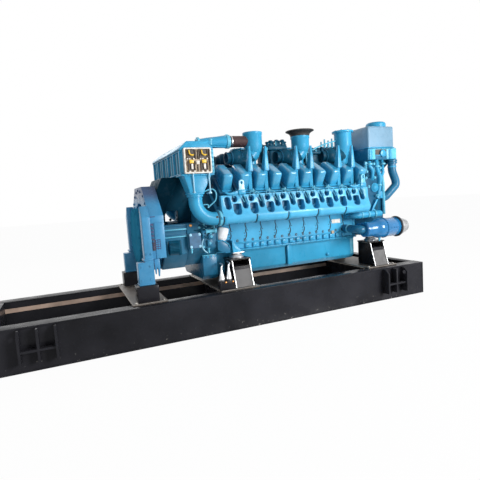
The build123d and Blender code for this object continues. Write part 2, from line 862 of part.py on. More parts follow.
with BuildPart() as cooler_lid:
    west = cooler_left - cooler_rib_proud
    east = cooler_right + cooler_rib_proud
    slab_y([(west, cooler_top_z), (west, cooler_top_z + lid_edge),
            (west + lid_slope, cooler_top_z + lid_edge + lid_rise),
            (east - lid_slope, cooler_top_z + lid_edge + lid_rise),
            (east, cooler_top_z + lid_edge), (east, cooler_top_z)],
           -cooler_half - lid_lip, cooler_half + lid_lip)
save(cooler_lid, "cooler_lid")

with BuildPart() as cooler_hoppers:
    with BuildSketch(Plane.XY.offset(cooler_floor_z)):
        with Locations((cooler_x, -cooler_half + hopper_length / 2)):
            Rectangle(cooler_length, hopper_length)
    with BuildSketch(Plane.XY.offset(elbow_top_z)):
        with Locations((elbow_x, -manifold_y)):
            Rectangle(hopper_foot, hopper_foot)
    loft()
    mirror(about=Plane.XZ)
save(cooler_hoppers, "cooler_hoppers")

with BuildPart() as air_elbows:
    with BuildLine(Plane.XZ.offset(manifold_y)):
        FilletPolyline((elbow_x, elbow_top_z), (elbow_x, manifold_mid_z), (engine_left, manifold_mid_z),
                       radius=elbow_bend)
    with BuildSketch(Plane.XY.offset(elbow_top_z)):
        with Locations((elbow_x, -manifold_y)):
            Circle(elbow_r)
    sweep()
    rod_z(elbow_x, -manifold_y, elbow_top_z - elbow_collar_height, elbow_top_z, elbow_r + elbow_collar)
    mirror(about=Plane.XZ)
save(air_elbows, "air_elbows")

with BuildPart() as electrics_panel:
    face_y = -cooler_half - lid_lip - panel_depth
    panel_low = cooler_top_z + lid_edge - panel_height
    left = cooler_x - panel_length / 2
    right = cooler_x + panel_length / 2
    block(left, right, face_y, -cooler_half - lid_lip, panel_low, panel_low + panel_height)
    block(left, right, -cooler_half - lid_lip, -cooler_half, panel_low, cooler_top_z)
    cell_width = (panel_length - 3 * panel_rim) / 2
    cell_height = (panel_height - 3 * panel_rim) / 2
    for i in range(2):
        for j in range(2):
            cell_x = left + panel_rim + i * (cell_width + panel_rim)
            cell_z = panel_low + panel_rim + j * (cell_height + panel_rim)
            block(cell_x, cell_x + cell_width, face_y, face_y + panel_recess,
                  cell_z, cell_z + cell_height, mode=Mode.SUBTRACT)
save(electrics_panel, "electrics_panel")

# Turbocharger carrier in the valley, with the upright fins between the head covers
with BuildPart() as turbo_carrier:
    trunk = [(-carrier_half, carrier_top_z), (-carrier_half, crank_z + carrier_root_rise),
             (-carrier_root_half, crank_z + valley_rise)]
    slab_x(both_sides(trunk), engine_left, engine_right)
    block(engine_right, engine_right + carrier_overhang, -carrier_half, carrier_half,
          gear_top_z, carrier_top_z)
save(turbo_carrier, "turbo_carrier")

with BuildPart() as carrier_fins:
    plane_sum = crank_z + head_top / cos(radians(bank_tilt))
    for x in [place for i, place in enumerate(gap_places) if i % fin_every != 0]:
        near_y = -fin_y - fin_foot_out
        deep_y = -fin_y + fin_depth / 2
        slab_x([(near_y, plane_sum + near_y), (deep_y, plane_sum + deep_y),
                (deep_y, crank_z + fin_base), (near_y, crank_z + fin_base)],
               x - fin_lean - fin_foot / 2, x - fin_lean + fin_foot / 2)
        with BuildSketch(Plane.XY.offset(crank_z + fin_base)):
            with Locations((x - fin_lean, -fin_y)):
                Rectangle(fin_width, fin_depth)
        with BuildSketch(Plane.XY.offset(crank_z + fin_top)):
            with Locations((x, -fin_y)):
                Rectangle(fin_tip_width, fin_tip_depth)
        loft()
    mirror(about=Plane.XZ)
save(carrier_fins, "carrier_fins")


# Turbochargers: a scroll with its nozzle, three on either side of the carrier
with BuildPart() as turbochargers:
    for pot_x in pot_places:
        scroll_x = pot_x + scroll_shift
        for side in (-1, 1):
            rod_x(scroll_x, scroll_x + scroll_length, side * pot_y, scroll_z, scroll_r)
            rod_x(scroll_x - nozzle_length, scroll_x, side * pot_y, scroll_z, nozzle_r)
save(turbochargers, "turbochargers")


# Outlet pots: a leaning neck, a flare and a rim, fed from the scroll's side
def make_pot(x, side, top):
    y = side * pot_y
    base = carrier_top_z
    rod_z(x - pot_lean, y, base, base + pot_neck_rise, pot_neck_r)
    cone_z(x, y, base + pot_neck_rise, base + pot_flare_rise, pot_neck_r, pot_r, pot_lean)
    rod_z(x, y, base + pot_flare_rise, top, pot_r)
    rod_z(x, y, top - pot_lip_height, top, pot_r + pot_lip)
    rod_x(x + scroll_shift + scroll_length, x, y, scroll_z, pot_neck_r)


def make_open_pot(x, top):
    """A near-side pot whose rim is left open."""
    make_pot(x, -1, top)
    rod_z(x, -pot_y, top - pot_bore_depth, top, pot_bore_r, Mode.SUBTRACT)


with BuildPart() as air_pot:
    make_open_pot(pot_places[0], pot_top_z)
save(air_pot, "air_pot")

with BuildPart() as exhaust_pot:
    make_open_pot(pot_places[1], crank_z + exhaust_top)
save(exhaust_pot, "exhaust_pot")

with BuildPart() as capped_pots:
    third_top_z = crank_z + third_pot_top
    make_pot(pot_places[2], -1, third_top_z)
    rod_z(pot_places[2], -pot_y, third_top_z - third_cap_height, third_top_z, third_cap_r)
    for pot_x in pot_places:
        make_pot(pot_x, 1, crank_z + far_pot_top)
save(capped_pots, "capped_pots")

with BuildPart() as exhaust_flange:
    flange_x = pot_places[1]
    flange_z = crank_z + exhaust_top
    rim_z = flange_z + flange_rise
    cone_z(flange_x, -pot_y, flange_z, rim_z, pot_r + pot_lip, flange_r)
    rod_z(flange_x, -pot_y, rim_z, rim_z + flange_rim, flange_r)
    rod_z(flange_x, -pot_y, flange_z, rim_z + flange_rim, pot_bore_r, Mode.SUBTRACT)
save(exhaust_flange, "exhaust_flange")

# Air pipe from the cooler's lid, and the hose that takes it to the first pot
with BuildPart() as air_pipe:
    block(take_off_x - take_off_length / 2, take_off_x + take_off_length / 2, -pot_y - air_pipe_r,
          -pot_y + air_pipe_r, lid_top_z, air_pipe_z + air_pipe_r)
    rod_x(take_off_x, hose_left_x - hose_flange, -pot_y, air_pipe_z, air_pipe_r)
    rod_x(hose_left_x - hose_flange, hose_left_x, -pot_y, air_pipe_z, hose_flange_r)
save(air_pipe, "air_pipe")

with BuildPart() as air_hose:
    rod_x(hose_left_x, first_pot_x, -pot_y, air_pipe_z, hose_r)
    rod_z(first_pot_x, -pot_y, carrier_top_z, pot_top_z, pot_r + fit_gap, Mode.SUBTRACT)
save(air_hose, "air_hose")

# Free end: gear case, column, tank and its duct
with BuildPart() as gear_case:
    block(engine_right, gear_right, -gear_half, gear_half, case_floor_z, gear_top_z)
save(gear_case, "gear_case")

with BuildPart() as tank_column:
    neck_top = gear_top_z + column_height
    slab_y([(column_left_x, gear_top_z), (column_left_x + column_length, gear_top_z),
            (column_left_x + column_length, neck_top), (column_left_x + shelf_length, shelf_z),
            (column_left_x, shelf_z)], -column_half, column_half)
    block(tank_left_x, column_left_x + shelf_length, -shelf_half, shelf_half, shelf_z, tank_floor_z)
save(tank_column, "tank_column")

with BuildPart() as expansion_tank:
    block(tank_left_x, tank_left_x + tank_length, -tank_half, tank_half,
          tank_floor_z, tank_floor_z + tank_height)
    upright = expansion_tank.edges().filter_by(Axis.Z)
    rim = expansion_tank.faces().sort_by(Axis.Z)[-1].edges()
    fillet(upright + rim, radius=tank_round)
save(expansion_tank, "expansion_tank")

with BuildPart() as tank_cap:
    tank_top_z = tank_floor_z + tank_height
    rod_z(tank_x + cap_shift, -cap_y, tank_top_z, tank_top_z + cap_height, cap_r)
    fillet(tank_cap.faces().sort_by(Axis.Z)[-1].edges(), radius=cap_round)
save(tank_cap, "tank_cap")

with BuildPart() as outlet_duct:
    block(tank_left_x - duct_length, tank_left_x, -duct_half, duct_half,
          carrier_top_z, carrier_top_z + duct_height)
save(outlet_duct, "outlet_duct")

with BuildPart() as coolant_pipes:
    pipe_out_x = pipe_top_x + pipe_swing_out
    swing_z = shelf_z - pipe_drop - pipe_swing
    foot_pipe_z = swing_z - pipe_fall - pipe_turn
    with BuildLine(Plane.XZ.offset(pipe_y)):
        FilletPolyline((pipe_top_x, shelf_z), (pipe_top_x, shelf_z - pipe_drop), (pipe_out_x, swing_z),
                       (pipe_out_x, swing_z - pipe_fall), (pipe_top_x - pipe_foot_in, foot_pipe_z),
                       (gear_right, foot_pipe_z), radius=pipe_bend)
    with BuildSketch(Plane.XY.offset(shelf_z)):
        with Locations((pipe_top_x, -pipe_y)):
            Circle(pipe_r)
    sweep()
    mirror(about=Plane.XZ)
save(coolant_pipes, "coolant_pipes")

with BuildPart() as bypass_pipes:
    bypass_mid_z = crank_z + bypass_z
    bypass_left_x = engine_right + bypass_shift
    bypass_right_x = bypass_left_x + bypass_length
    with BuildLine(Plane.XY.offset(bypass_mid_z)):
        FilletPolyline((bypass_right_x, -gear_half), (bypass_right_x, -gear_half - bypass_reach),
                       (bypass_left_x, -gear_half - bypass_reach), (bypass_left_x, -case_half),
                       radius=bypass_bend)
    with BuildSketch(Plane.XZ.offset(gear_half)):
        with Locations((bypass_right_x, bypass_mid_z)):
            Circle(bypass_r)
    sweep()
    mirror(about=Plane.XZ)
save(bypass_pipes, "bypass_pipes")

with BuildPart() as coolant_pumps:
    pump_mid_z = crank_z + pump_z
    pump_left_x = engine_right + pump_shift
    pump_right_x = pump_left_x + pump_length
    rod_x(pump_left_x, pump_left_x + pump_throat, -pump_y, pump_mid_z, pump_throat_r)
    rod_x(pump_left_x + pump_throat, pump_right_x, -pump_y, pump_mid_z, pump_r)
    rod_x(pump_right_x, pump_right_x + pump_ring, -pump_y, pump_mid_z, pump_r + pump_ring_lip)
    block(pump_left_x + pump_neck_shift, pump_left_x + pump_neck_shift + pump_neck, -pump_y, -gear_half,
          pump_mid_z - pump_neck / 2, pump_mid_z + pump_neck / 2)
    mirror(about=Plane.XZ)
save(coolant_pumps, "coolant_pumps")

with BuildPart() as pump_noses:
    nose_x = pump_right_x + pump_ring
    for side in (-1, 1):
        with BuildSketch(Plane.YZ.offset(nose_x)) as wide:
            with Locations((side * pump_y, pump_mid_z)):
                Circle(pump_r)
        with BuildSketch(Plane.YZ.offset(nose_x + pump_nose)) as narrow:
            with Locations((side * pump_y, pump_mid_z)):
                Circle(pump_nose_r)
        loft([wide.sketch.face(), narrow.sketch.face()])
save(pump_noses, "pump_noses")

# Lifting eyes on the runner banks, each on a foot that reaches out
with BuildPart() as lifting_eyes:
    eye_base_z = runner_top_z
    for eye_x in (gap_places[0] + eye_shift_left, gap_places[-1] + eye_shift_right):
        block(eye_x - eye_foot / 2, eye_x + eye_foot / 2, -eye_y - eye_thick / 2, -eye_foot_in,
              eye_base_z, eye_base_z + eye_foot_height)
        with BuildSketch(Plane.XZ.offset(eye_y - eye_thick / 2)):
            with Locations((eye_x, eye_base_z + (eye_height - eye_width / 2) / 2)):
                Rectangle(eye_width, eye_height - eye_width / 2)
            with Locations((eye_x, eye_base_z + eye_height - eye_width / 2)):
                Circle(eye_width / 2)
                Circle(eye_hole_r, mode=Mode.SUBTRACT)
        extrude(amount=eye_thick)
    mirror(about=Plane.XZ)
save(lifting_eyes, "lifting_eyes")
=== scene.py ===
"""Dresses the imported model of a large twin-bank diesel engine on its base frame."""

import math
from contextlib import contextmanager

import bpy
from bpy.props import FloatProperty, FloatVectorProperty, PointerProperty
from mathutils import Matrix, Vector


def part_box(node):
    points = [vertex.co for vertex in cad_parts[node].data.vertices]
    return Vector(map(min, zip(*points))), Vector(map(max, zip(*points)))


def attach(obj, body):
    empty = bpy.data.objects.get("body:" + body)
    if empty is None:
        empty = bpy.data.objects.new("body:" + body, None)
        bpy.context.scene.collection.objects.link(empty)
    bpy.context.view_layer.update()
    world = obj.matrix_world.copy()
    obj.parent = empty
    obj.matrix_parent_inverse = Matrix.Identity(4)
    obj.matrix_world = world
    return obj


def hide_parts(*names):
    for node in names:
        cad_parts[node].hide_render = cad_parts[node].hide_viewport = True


bl_info = {
    "name": "Engine Set Dresser",
    "version": (1, 0, 0),
    "blender": (4, 5, 0),
    "location": "View3D > Sidebar > Engine Set",
    "description": "Models the castings, pipes and paint of a diesel engine over its packed frame",
    "category": "Object",
}

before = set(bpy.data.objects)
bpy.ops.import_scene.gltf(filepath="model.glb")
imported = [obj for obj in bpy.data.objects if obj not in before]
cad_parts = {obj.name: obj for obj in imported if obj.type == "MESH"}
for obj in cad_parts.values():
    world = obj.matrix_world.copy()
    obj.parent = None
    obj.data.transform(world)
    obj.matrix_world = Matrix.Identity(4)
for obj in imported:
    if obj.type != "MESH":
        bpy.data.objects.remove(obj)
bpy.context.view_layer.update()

# Sizes and places of the engine that several pieces share, on the near bank
CYLINDERS = 10
COVER_WIDE = 0.125
HEAD_REACH = 0.85
CASE_WALL = -0.41
PIPE_Y = -0.74
PUMP_Y = -0.74
MOUNT_Y = -0.49
GEAR_FACE = -0.43
COOLANT_Y = -0.38
POT_Y = -0.25
POT_X = (0.51, 1.31, 2.11)
ROUND_TOP = 1.88
FLOOR_WHITE = 0.965
DIAGONAL = math.sqrt(0.5)

# Directions
LEFT, RIGHT = (-1, 0, 0), (1, 0, 0)
NEARER, FARTHER = (0, -1, 0), (0, 1, 0)
UP, DOWN = (0, 0, 1), (0, 0, -1)

# Places read from the frame
COVER_LOW, COVER_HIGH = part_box("head_covers")
PIPE_LOW, PIPE_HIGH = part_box("air_manifolds")
CASE_LOW, CASE_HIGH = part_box("crankcase")
PITCH = (COVER_HIGH.x - COVER_LOW.x - COVER_WIDE) / (CYLINDERS - 1)
CYLINDER_X = [COVER_LOW.x + COVER_WIDE / 2 + i * PITCH for i in range(CYLINDERS)]
GAP_X = [x + PITCH / 2 for x in CYLINDER_X[:-1]]
CRANK_Z = sum(corner.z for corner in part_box("drive_coupling")) / 2
PIPE_Z = (PIPE_LOW.z + PIPE_HIGH.z) / 2
PIPE_R = (PIPE_HIGH.z - PIPE_LOW.z) / 2
RUNNER_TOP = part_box("runner_banks")[1].z
DECK_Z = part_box("cover_plates")[1].z


def on_bank(x, reach, side):
    """A point on the near bank: reach along the bore, side towards the valley."""
    return Vector((x, (side - reach) * DIAGONAL, CRANK_Z + (reach + side) * DIAGONAL))


# Modelling tools
def select_only(*pieces):
    bpy.ops.object.select_all(action="DESELECT")
    for piece in pieces:
        piece.select_set(True)
    bpy.context.view_layer.objects.active = pieces[0]


@contextmanager
def editing(piece):
    """The piece is open in edit mode with everything selected."""
    select_only(piece)
    bpy.ops.object.mode_set(mode="EDIT")
    bpy.ops.mesh.select_all(action="SELECT")
    yield
    bpy.ops.object.mode_set(mode="OBJECT")


@contextmanager
def editing_as_is(piece):
    """The piece is open in edit mode with the selection it has."""
    select_only(piece)
    bpy.ops.object.mode_set(mode="EDIT")
    yield
    bpy.ops.object.mode_set(mode="OBJECT")


def settle(piece):
    """Puts a primitive's place, turn and size into its mesh."""
    select_only(piece)
    bpy.ops.object.transform_apply(location=True, rotation=True, scale=True)
    return piece


def apply_modifier(piece, kind, **values):
    select_only(piece)
    modifier = piece.modifiers.new(kind.title(), kind)
    for key, value in values.items():
        setattr(modifier, key, value)
    bpy.ops.object.modifier_apply(modifier=modifier.name)
    return piece


def rounded(piece, width, steps=2, angle=30.0, edge_slot=-1):
    """Rounds every sharp edge; edge_slot paints the rounding with another of the piece's materials."""
    return apply_modifier(piece, "BEVEL", width=width, segments=steps, limit_method="ANGLE",
        angle_limit=math.radians(angle), material=edge_slot, harden_normals=False)


def clean(piece, gap=1e-5):
    with editing(piece):
        bpy.ops.mesh.remove_doubles(threshold=gap)
        bpy.ops.mesh.normals_make_consistent(inside=False)
    return piece


def brick(low, high, width=0.0, steps=2):
    """A block between two corners with rounded edges."""
    low, high = Vector(low), Vector(high)
    bpy.ops.object.select_all(action="DESELECT")
    bpy.ops.mesh.primitive_cube_add(size=1, location=(low + high) / 2, scale=high - low)
    piece = settle(bpy.context.active_object)
    return rounded(piece, width, steps) if width else piece


def rod(start, end, radius, width=0.0, sides=32, steps=2):
    """A round bar from start to end."""
    start, end = Vector(start), Vector(end)
    along = end - start
    turn = along.to_track_quat("Z", "Y").to_euler()
    middle = (start + end) / 2
    bpy.ops.object.select_all(action="DESELECT")
    bpy.ops.mesh.primitive_cylinder_add(vertices=sides, radius=radius, depth=along.length,
        location=middle, rotation=turn)
    piece = settle(bpy.context.active_object)
    return rounded(piece, width, steps) if width else piece


def line(points):
    """A wire drawn from corner to corner, as a pen would."""
    points = [Vector(p) for p in points]
    bpy.ops.object.select_all(action="DESELECT")
    bpy.ops.mesh.primitive_plane_add(size=0.01, location=points[0])
    piece = settle(bpy.context.active_object)
    bpy.ops.object.mode_set(mode="EDIT")
    bpy.ops.mesh.select_all(action="SELECT")
    bpy.ops.mesh.merge(type="CENTER")
    for a, b in zip(points, points[1:]):
        bpy.ops.mesh.extrude_vertices_move(TRANSFORM_OT_translate={"value": b - a})
    bpy.ops.object.mode_set(mode="OBJECT")
    return piece


def slab(points, push, width=0.0, steps=2):
    """A flat outline pushed out to a solid with rounded edges."""
    piece = line(points)
    with editing(piece):
        bpy.ops.mesh.edge_face_add()
        bpy.ops.mesh.extrude_region_move(TRANSFORM_OT_translate={"value": Vector(push)})
        bpy.ops.mesh.select_all(action="SELECT")
        bpy.ops.mesh.normals_make_consistent(inside=False)
    return rounded(piece, width, steps) if width else piece


def turned(profile, start, along=(0, 0, 1), sides=40):
    """A lathe shape from (distance along the axis, radius) points; a ring's outline is closed here."""
    if profile[0][1] and profile[-1][1] and profile[0] != profile[-1]:
        profile = [*profile, profile[0]]
    piece = line([(radius, 0, height) for height, radius in profile])
    with editing(piece):
        bpy.ops.mesh.spin(steps=sides, angle=math.tau, center=(0, 0, 0), axis=(0, 0, 1))
        bpy.ops.mesh.select_all(action="SELECT")
        bpy.ops.mesh.remove_doubles(threshold=1e-5)
        bpy.ops.mesh.normals_make_consistent(inside=False)
    piece.rotation_euler = Vector(along).to_track_quat("Z", "Y").to_euler()
    piece.location = start
    return settle(piece)


def tube(points, radius, bend=0.0, fineness=3, corner_steps=6):
    """A pipe along a route whose corners are rounded by the bend."""
    piece = line(points)
    if bend:
        with editing(piece):
            bpy.ops.mesh.select_all(action="DESELECT")
        for i in range(1, len(points) - 1):
            piece.data.vertices[i].select = True
        bpy.ops.object.mode_set(mode="EDIT")
        bpy.ops.mesh.bevel(offset=bend, segments=corner_steps, affect="VERTICES", clamp_overlap=True)
        bpy.ops.object.mode_set(mode="OBJECT")
    select_only(piece)
    bpy.ops.object.convert(target="CURVE")
    wire = bpy.context.active_object
    wire.data.bevel_depth = radius
    wire.data.bevel_resolution = fineness
    wire.data.use_fill_caps = True
    bpy.ops.object.convert(target="MESH")
    return clean(bpy.context.active_object)


def arc(middle, radius, first, last, steps=8):
    """Points of a bend in an upright plane along X, angles in degrees from +X towards +Z."""
    turns = [math.radians(first + (last - first) * i / steps) for i in range(steps + 1)]
    return [(middle[0] + radius * math.cos(a), middle[1], middle[2] + radius * math.sin(a))
        for a in turns]


def ring(middle, along, radius, thick, sides=40, minor=10):
    """A round ring about an axis."""
    turn = Vector(along).to_track_quat("Z", "Y").to_euler()
    bpy.ops.object.select_all(action="DESELECT")
    bpy.ops.mesh.primitive_torus_add(location=middle, rotation=turn, major_radius=radius,
        minor_radius=thick, major_segments=sides, minor_segments=minor)
    return settle(bpy.context.active_object)


def rim(width, height, low, high, lean=0.0, steps=5):
    """Corner points of an upright rounded outline, with its own radius at the foot and at the top."""
    points = []
    for i, (sx, sz, radius) in enumerate(((1, -1, low), (1, 1, high), (-1, 1, high), (-1, -1, low))):
        radius = min(radius, 0.495 * width, 0.495 * height)
        for step in range(steps + 1):
            angle = math.radians(-90 + 90 * (i + step / steps))
            x = sx * (width / 2 - radius) + radius * math.cos(angle)
            z = sz * (height / 2 - radius) + radius * math.sin(angle)
            points.append((x * math.cos(lean) - z * math.sin(lean),
                x * math.sin(lean) + z * math.cos(lean)))
    return points


def opening(middle, width, height, low, high, depth, lean=0.0):
    """A rounded solid pushed along Y from its middle, to cut or to stand as a panel."""
    return slab([(middle[0] + x, middle[1], middle[2] + z) for x,
        z in rim(width, height, low, high, lean)], (0, depth, 0))


def copies(piece, moves):
    """Copies of a piece, each with its own mesh, moved by the given steps."""
    made = []
    for move in moves:
        select_only(piece)
        bpy.ops.object.duplicate(linked=False)
        copy = bpy.context.active_object
        copy.location = move
        made.append(settle(copy))
    return made


def repeated(piece, places):
    """The piece, made at the first of the places along X, and its copies at the others."""
    return [piece] + copies(piece, [(place - places[0], 0, 0) for place in places[1:]])


def around(middle, radius, angles, axis):
    """Places on a circle about the X, Y or Z axis through the middle, angles in radians."""
    first, second = {"X": (1, 2), "Y": (0, 2), "Z": (0, 1)}[axis]
    places = []
    for angle in angles:
        place = list(middle)
        place[first] += radius * math.cos(angle)
        place[second] += radius * math.sin(angle)
        places.append(place)
    return places


def evenly(count):
    """Angles that share out a full circle."""
    return [i * math.tau / count for i in range(count)]


def mm(*values):
    """A lathe profile from millimetres: distance along the axis and radius in turn."""
    return [(along / 1000, radius / 1000) for along, radius in zip(values[::2], values[1::2])]


def mirrored(piece):
    """The piece and its twin on the far bank."""
    select_only(piece)
    bpy.ops.object.duplicate(linked=False)
    twin = bpy.context.active_object
    twin.scale.y = -1
    settle(twin)
    with editing(twin):
        bpy.ops.mesh.normals_make_consistent(inside=False)
    return [piece, twin]


def both_banks(pieces):
    """The pieces joined into one, and their twin on the far bank."""
    return mirrored(join(list(pieces)))


def hexes(places, along, size, height=None):
    """Hexagon bolt heads with washers at each place, pointing along one way."""
    height = height or size * 0.75
    out = Vector(along).normalized()
    first = Vector(places[0])
    head = rod(first, first + out * height, size, width=size * 0.14, sides=6, steps=1)
    washer = rod(first, first + out * size * 0.2, size * 1.45, sides=16)
    bolt = join([head, washer])
    return [bolt] + copies(bolt, [Vector(p) - first for p in places[1:]])


def join(pieces):
    select_only(*pieces)
    if len(pieces) > 1:
        bpy.ops.object.join()
    return bpy.context.active_object


def cut(piece, cutters):
    """Takes the joined cutters out of the piece."""
    cutter = join(cutters)
    apply_modifier(piece, "BOOLEAN", operation="DIFFERENCE", object=cutter, solver="EXACT")
    bpy.data.objects.remove(cutter, do_unlink=True)
    return piece


def copy_of(node, flat=0.5):
    """A copy of one CAD node with its loose triangles merged into whole faces."""
    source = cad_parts[node]
    select_only(source)
    bpy.ops.object.duplicate(linked=False)
    copy = bpy.context.active_object
    for key in list(copy.keys()):
        del copy[key]
    copy.parent = None
    with editing(copy):
        bpy.ops.mesh.remove_doubles(threshold=1e-5)
        bpy.ops.mesh.dissolve_limited(angle_limit=math.radians(flat))
    return copy


def painted(pieces, paint):
    """Gives pieces their paint before they are joined with others."""
    for piece in pieces:
        piece.data.materials.clear()
        piece.data.materials.append(PAINTS[paint])
    return list(pieces)


def dress(name, pieces, replaces=(), smooth=35.0):
    """Joins painted pieces under one name and fastens them to the frame."""
    piece = join(list(pieces))
    piece.name = name
    piece.data.name = name
    select_only(piece)
    bpy.ops.object.shade_smooth_by_angle(angle=math.radians(smooth))
    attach(piece, "root")
    if replaces:
        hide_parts(*replaces)
    return piece


# Finishes
def link(tree, source, target):
    tree.links.new(source, target)


def finish_base(name, colour, roughness, metallic=0.0, coat=0.0, coat_roughness=0.1):
    """A new material with its constant values set on the shader's own sockets."""
    paint = bpy.data.materials.new(name)
    paint.use_nodes = True
    shader = paint.node_tree.nodes["Principled BSDF"]
    shader.inputs["Base Color"].default_value = (*colour, 1)
    shader.inputs["Roughness"].default_value = roughness
    shader.inputs["Metallic"].default_value = metallic
    shader.inputs["Coat Weight"].default_value = coat
    shader.inputs["Coat Roughness"].default_value = coat_roughness
    return paint, paint.node_tree, shader


def noise(tree, scale, detail=4.0, stretch=(1, 1, 1)):
    """Noise on object coordinates, in cells per metre."""
    place = tree.nodes.new("ShaderNodeTexCoord")
    mapping = tree.nodes.new("ShaderNodeMapping")
    mapping.inputs["Scale"].default_value = stretch
    texture = tree.nodes.new("ShaderNodeTexNoise")
    texture.inputs["Scale"].default_value = scale
    texture.inputs["Detail"].default_value = detail
    link(tree, place.outputs["Object"], mapping.inputs["Vector"])
    link(tree, mapping.outputs["Vector"], texture.inputs["Vector"])
    return texture.outputs["Fac"]


def ramp(tree, value, stops):
    """Colours for a value, as (position, colour) stops."""
    node = tree.nodes.new("ShaderNodeValToRGB")
    elements = node.color_ramp.elements
    while len(elements) < len(stops):
        elements.new(0.5)
    for element, (position, colour) in zip(elements, stops):
        element.position = position
        element.color = (*colour, 1)
    link(tree, value, node.inputs["Fac"])
    return node.outputs["Color"]


def between(tree, value, low, high):
    """Stretches the middle of a noise to a range."""
    node = tree.nodes.new("ShaderNodeMapRange")
    node.inputs["From Min"].default_value = 0.3
    node.inputs["From Max"].default_value = 0.7
    node.inputs["To Min"].default_value = low
    node.inputs["To Max"].default_value = high
    link(tree, value, node.inputs["Value"])
    return node.outputs["Result"]


def mix(tree, factor, first, second):
    node = tree.nodes.new("ShaderNodeMix")
    node.data_type = "RGBA"
    link(tree, factor, node.inputs["Factor"])
    link(tree, first, node.inputs["A"])
    link(tree, second, node.inputs["B"])
    return node.outputs["Result"]


def bump(tree, shader, height, strength, distance):
    node = tree.nodes.new("ShaderNodeBump")
    node.inputs["Strength"].default_value = strength
    node.inputs["Distance"].default_value = distance
    link(tree, height, node.inputs["Height"])
    link(tree, node.outputs["Normal"], shader.inputs["Normal"])


def scaled(colour, factor):
    return tuple(min(1.0, c * factor) for c in colour)


def toned(colour, *factors):
    """The colour with its own factor for red, green and blue."""
    return tuple(part * factor for part, factor in zip(colour, factors))


def enamel(name, colour, roughness=0.3, coat=0.08, grain=0.0007, shine=0.22):
    """Engine paint over cast metal: cloudy tone, dust in broad patches, and the casting's grain below."""
    paint, tree, shader = finish_base(name, colour, roughness, coat=coat, coat_roughness=0.12)
    shader.inputs["Specular IOR Level"].default_value = shine
    cloud = ramp(tree, noise(tree, 2.2, 3), [(0.3, scaled(colour, 0.84)), (0.5, colour),
        (0.72, scaled(colour, 1.16))])
    dust = ramp(tree, noise(tree, 9.0, 6), [(0.55, (0, 0, 0)), (0.85, (0.07, 0.07, 0.07))])
    pale = tree.nodes.new("ShaderNodeRGB")
    pale.outputs[0].default_value = (0.42, 0.55, 0.62, 1)
    link(tree, mix(tree, dust, cloud, pale.outputs[0]), shader.inputs["Base Color"])
    link(tree, between(tree, noise(tree, 14.0, 5), roughness * 0.75, roughness * 1.35),
        shader.inputs["Roughness"])
    bump(tree, shader, noise(tree, 170.0, 3), 0.22, grain)
    return paint


def shaded_above(paint, height, shade_colour):
    """Blends a darker colour in above a height: a painted shade over a piece's upper part."""
    tree = paint.node_tree
    shader = tree.nodes["Principled BSDF"]
    below = shader.inputs["Base Color"].links[0].from_socket
    place = tree.nodes.new("ShaderNodeTexCoord")
    split = tree.nodes.new("ShaderNodeSeparateXYZ")
    link(tree, place.outputs["Object"], split.inputs["Vector"])
    reach = tree.nodes.new("ShaderNodeMapRange")
    reach.inputs["From Min"].default_value = height
    reach.inputs["From Max"].default_value = height + 0.14
    link(tree, split.outputs["Z"], reach.inputs["Value"])
    upper = tree.nodes.new("ShaderNodeRGB")
    upper.outputs[0].default_value = (*shade_colour, 1)
    link(tree, mix(tree, reach.outputs["Result"], below, upper.outputs[0]), shader.inputs["Base Color"])
    return paint


def black_gloss(name, colour, roughness=0.2):
    """Brushed black gloss paint with dust and pale scuffs towards the ground."""
    paint, tree, shader = finish_base(name, colour, roughness)
    shader.inputs["Specular IOR Level"].default_value = 0.09
    cloud = ramp(tree, noise(tree, 1.6, 5), [(0.3, scaled(colour, 0.7)), (0.7, scaled(colour, 1.7))])
    specks = ramp(tree, noise(tree, 26.0, 3), [(0.66, (0, 0, 0)), (0.72, (1, 1, 1))])
    place = tree.nodes.new("ShaderNodeTexCoord")
    split = tree.nodes.new("ShaderNodeSeparateXYZ")
    link(tree, place.outputs["Object"], split.inputs["Vector"])
    lower = tree.nodes.new("ShaderNodeMapRange")
    lower.inputs["From Min"].default_value = 0.02
    lower.inputs["From Max"].default_value = 0.16
    lower.inputs["To Min"].default_value = 0.5
    lower.inputs["To Max"].default_value = 0.02
    link(tree, split.outputs["Z"], lower.inputs["Value"])
    amount = tree.nodes.new("ShaderNodeMath")
    amount.operation = "MULTIPLY"
    link(tree, specks, amount.inputs[0])
    link(tree, lower.outputs["Result"], amount.inputs[1])
    scuff = tree.nodes.new("ShaderNodeRGB")
    scuff.outputs[0].default_value = (0.35, 0.33, 0.30, 1)
    link(tree, mix(tree, amount.outputs["Value"], cloud, scuff.outputs[0]), shader.inputs["Base Color"])
    link(tree, between(tree, noise(tree, 5.0, 6), roughness * 0.7, roughness * 2.0),
        shader.inputs["Roughness"])
    bump(tree, shader, noise(tree, 28.0, 4), 0.12, 0.002)
    return paint


def metal(name, colour, roughness, grain=90.0, stretch=(1, 1, 1), depth=0.0006):
    """Bare metal with brushed or cast grain and uneven shine."""
    paint, tree, shader = finish_base(name, colour, roughness, metallic=1.0)
    link(tree, ramp(tree, noise(tree, 12.0, 5), [(0.3, scaled(colour, 0.75)),
        (0.7, scaled(colour, 1.15))]), shader.inputs["Base Color"])
    link(tree, between(tree, noise(tree, 30.0, 4, stretch), roughness * 0.7, roughness * 1.4),
        shader.inputs["Roughness"])
    bump(tree, shader, noise(tree, grain, 3, stretch), 0.3, depth)
    return paint


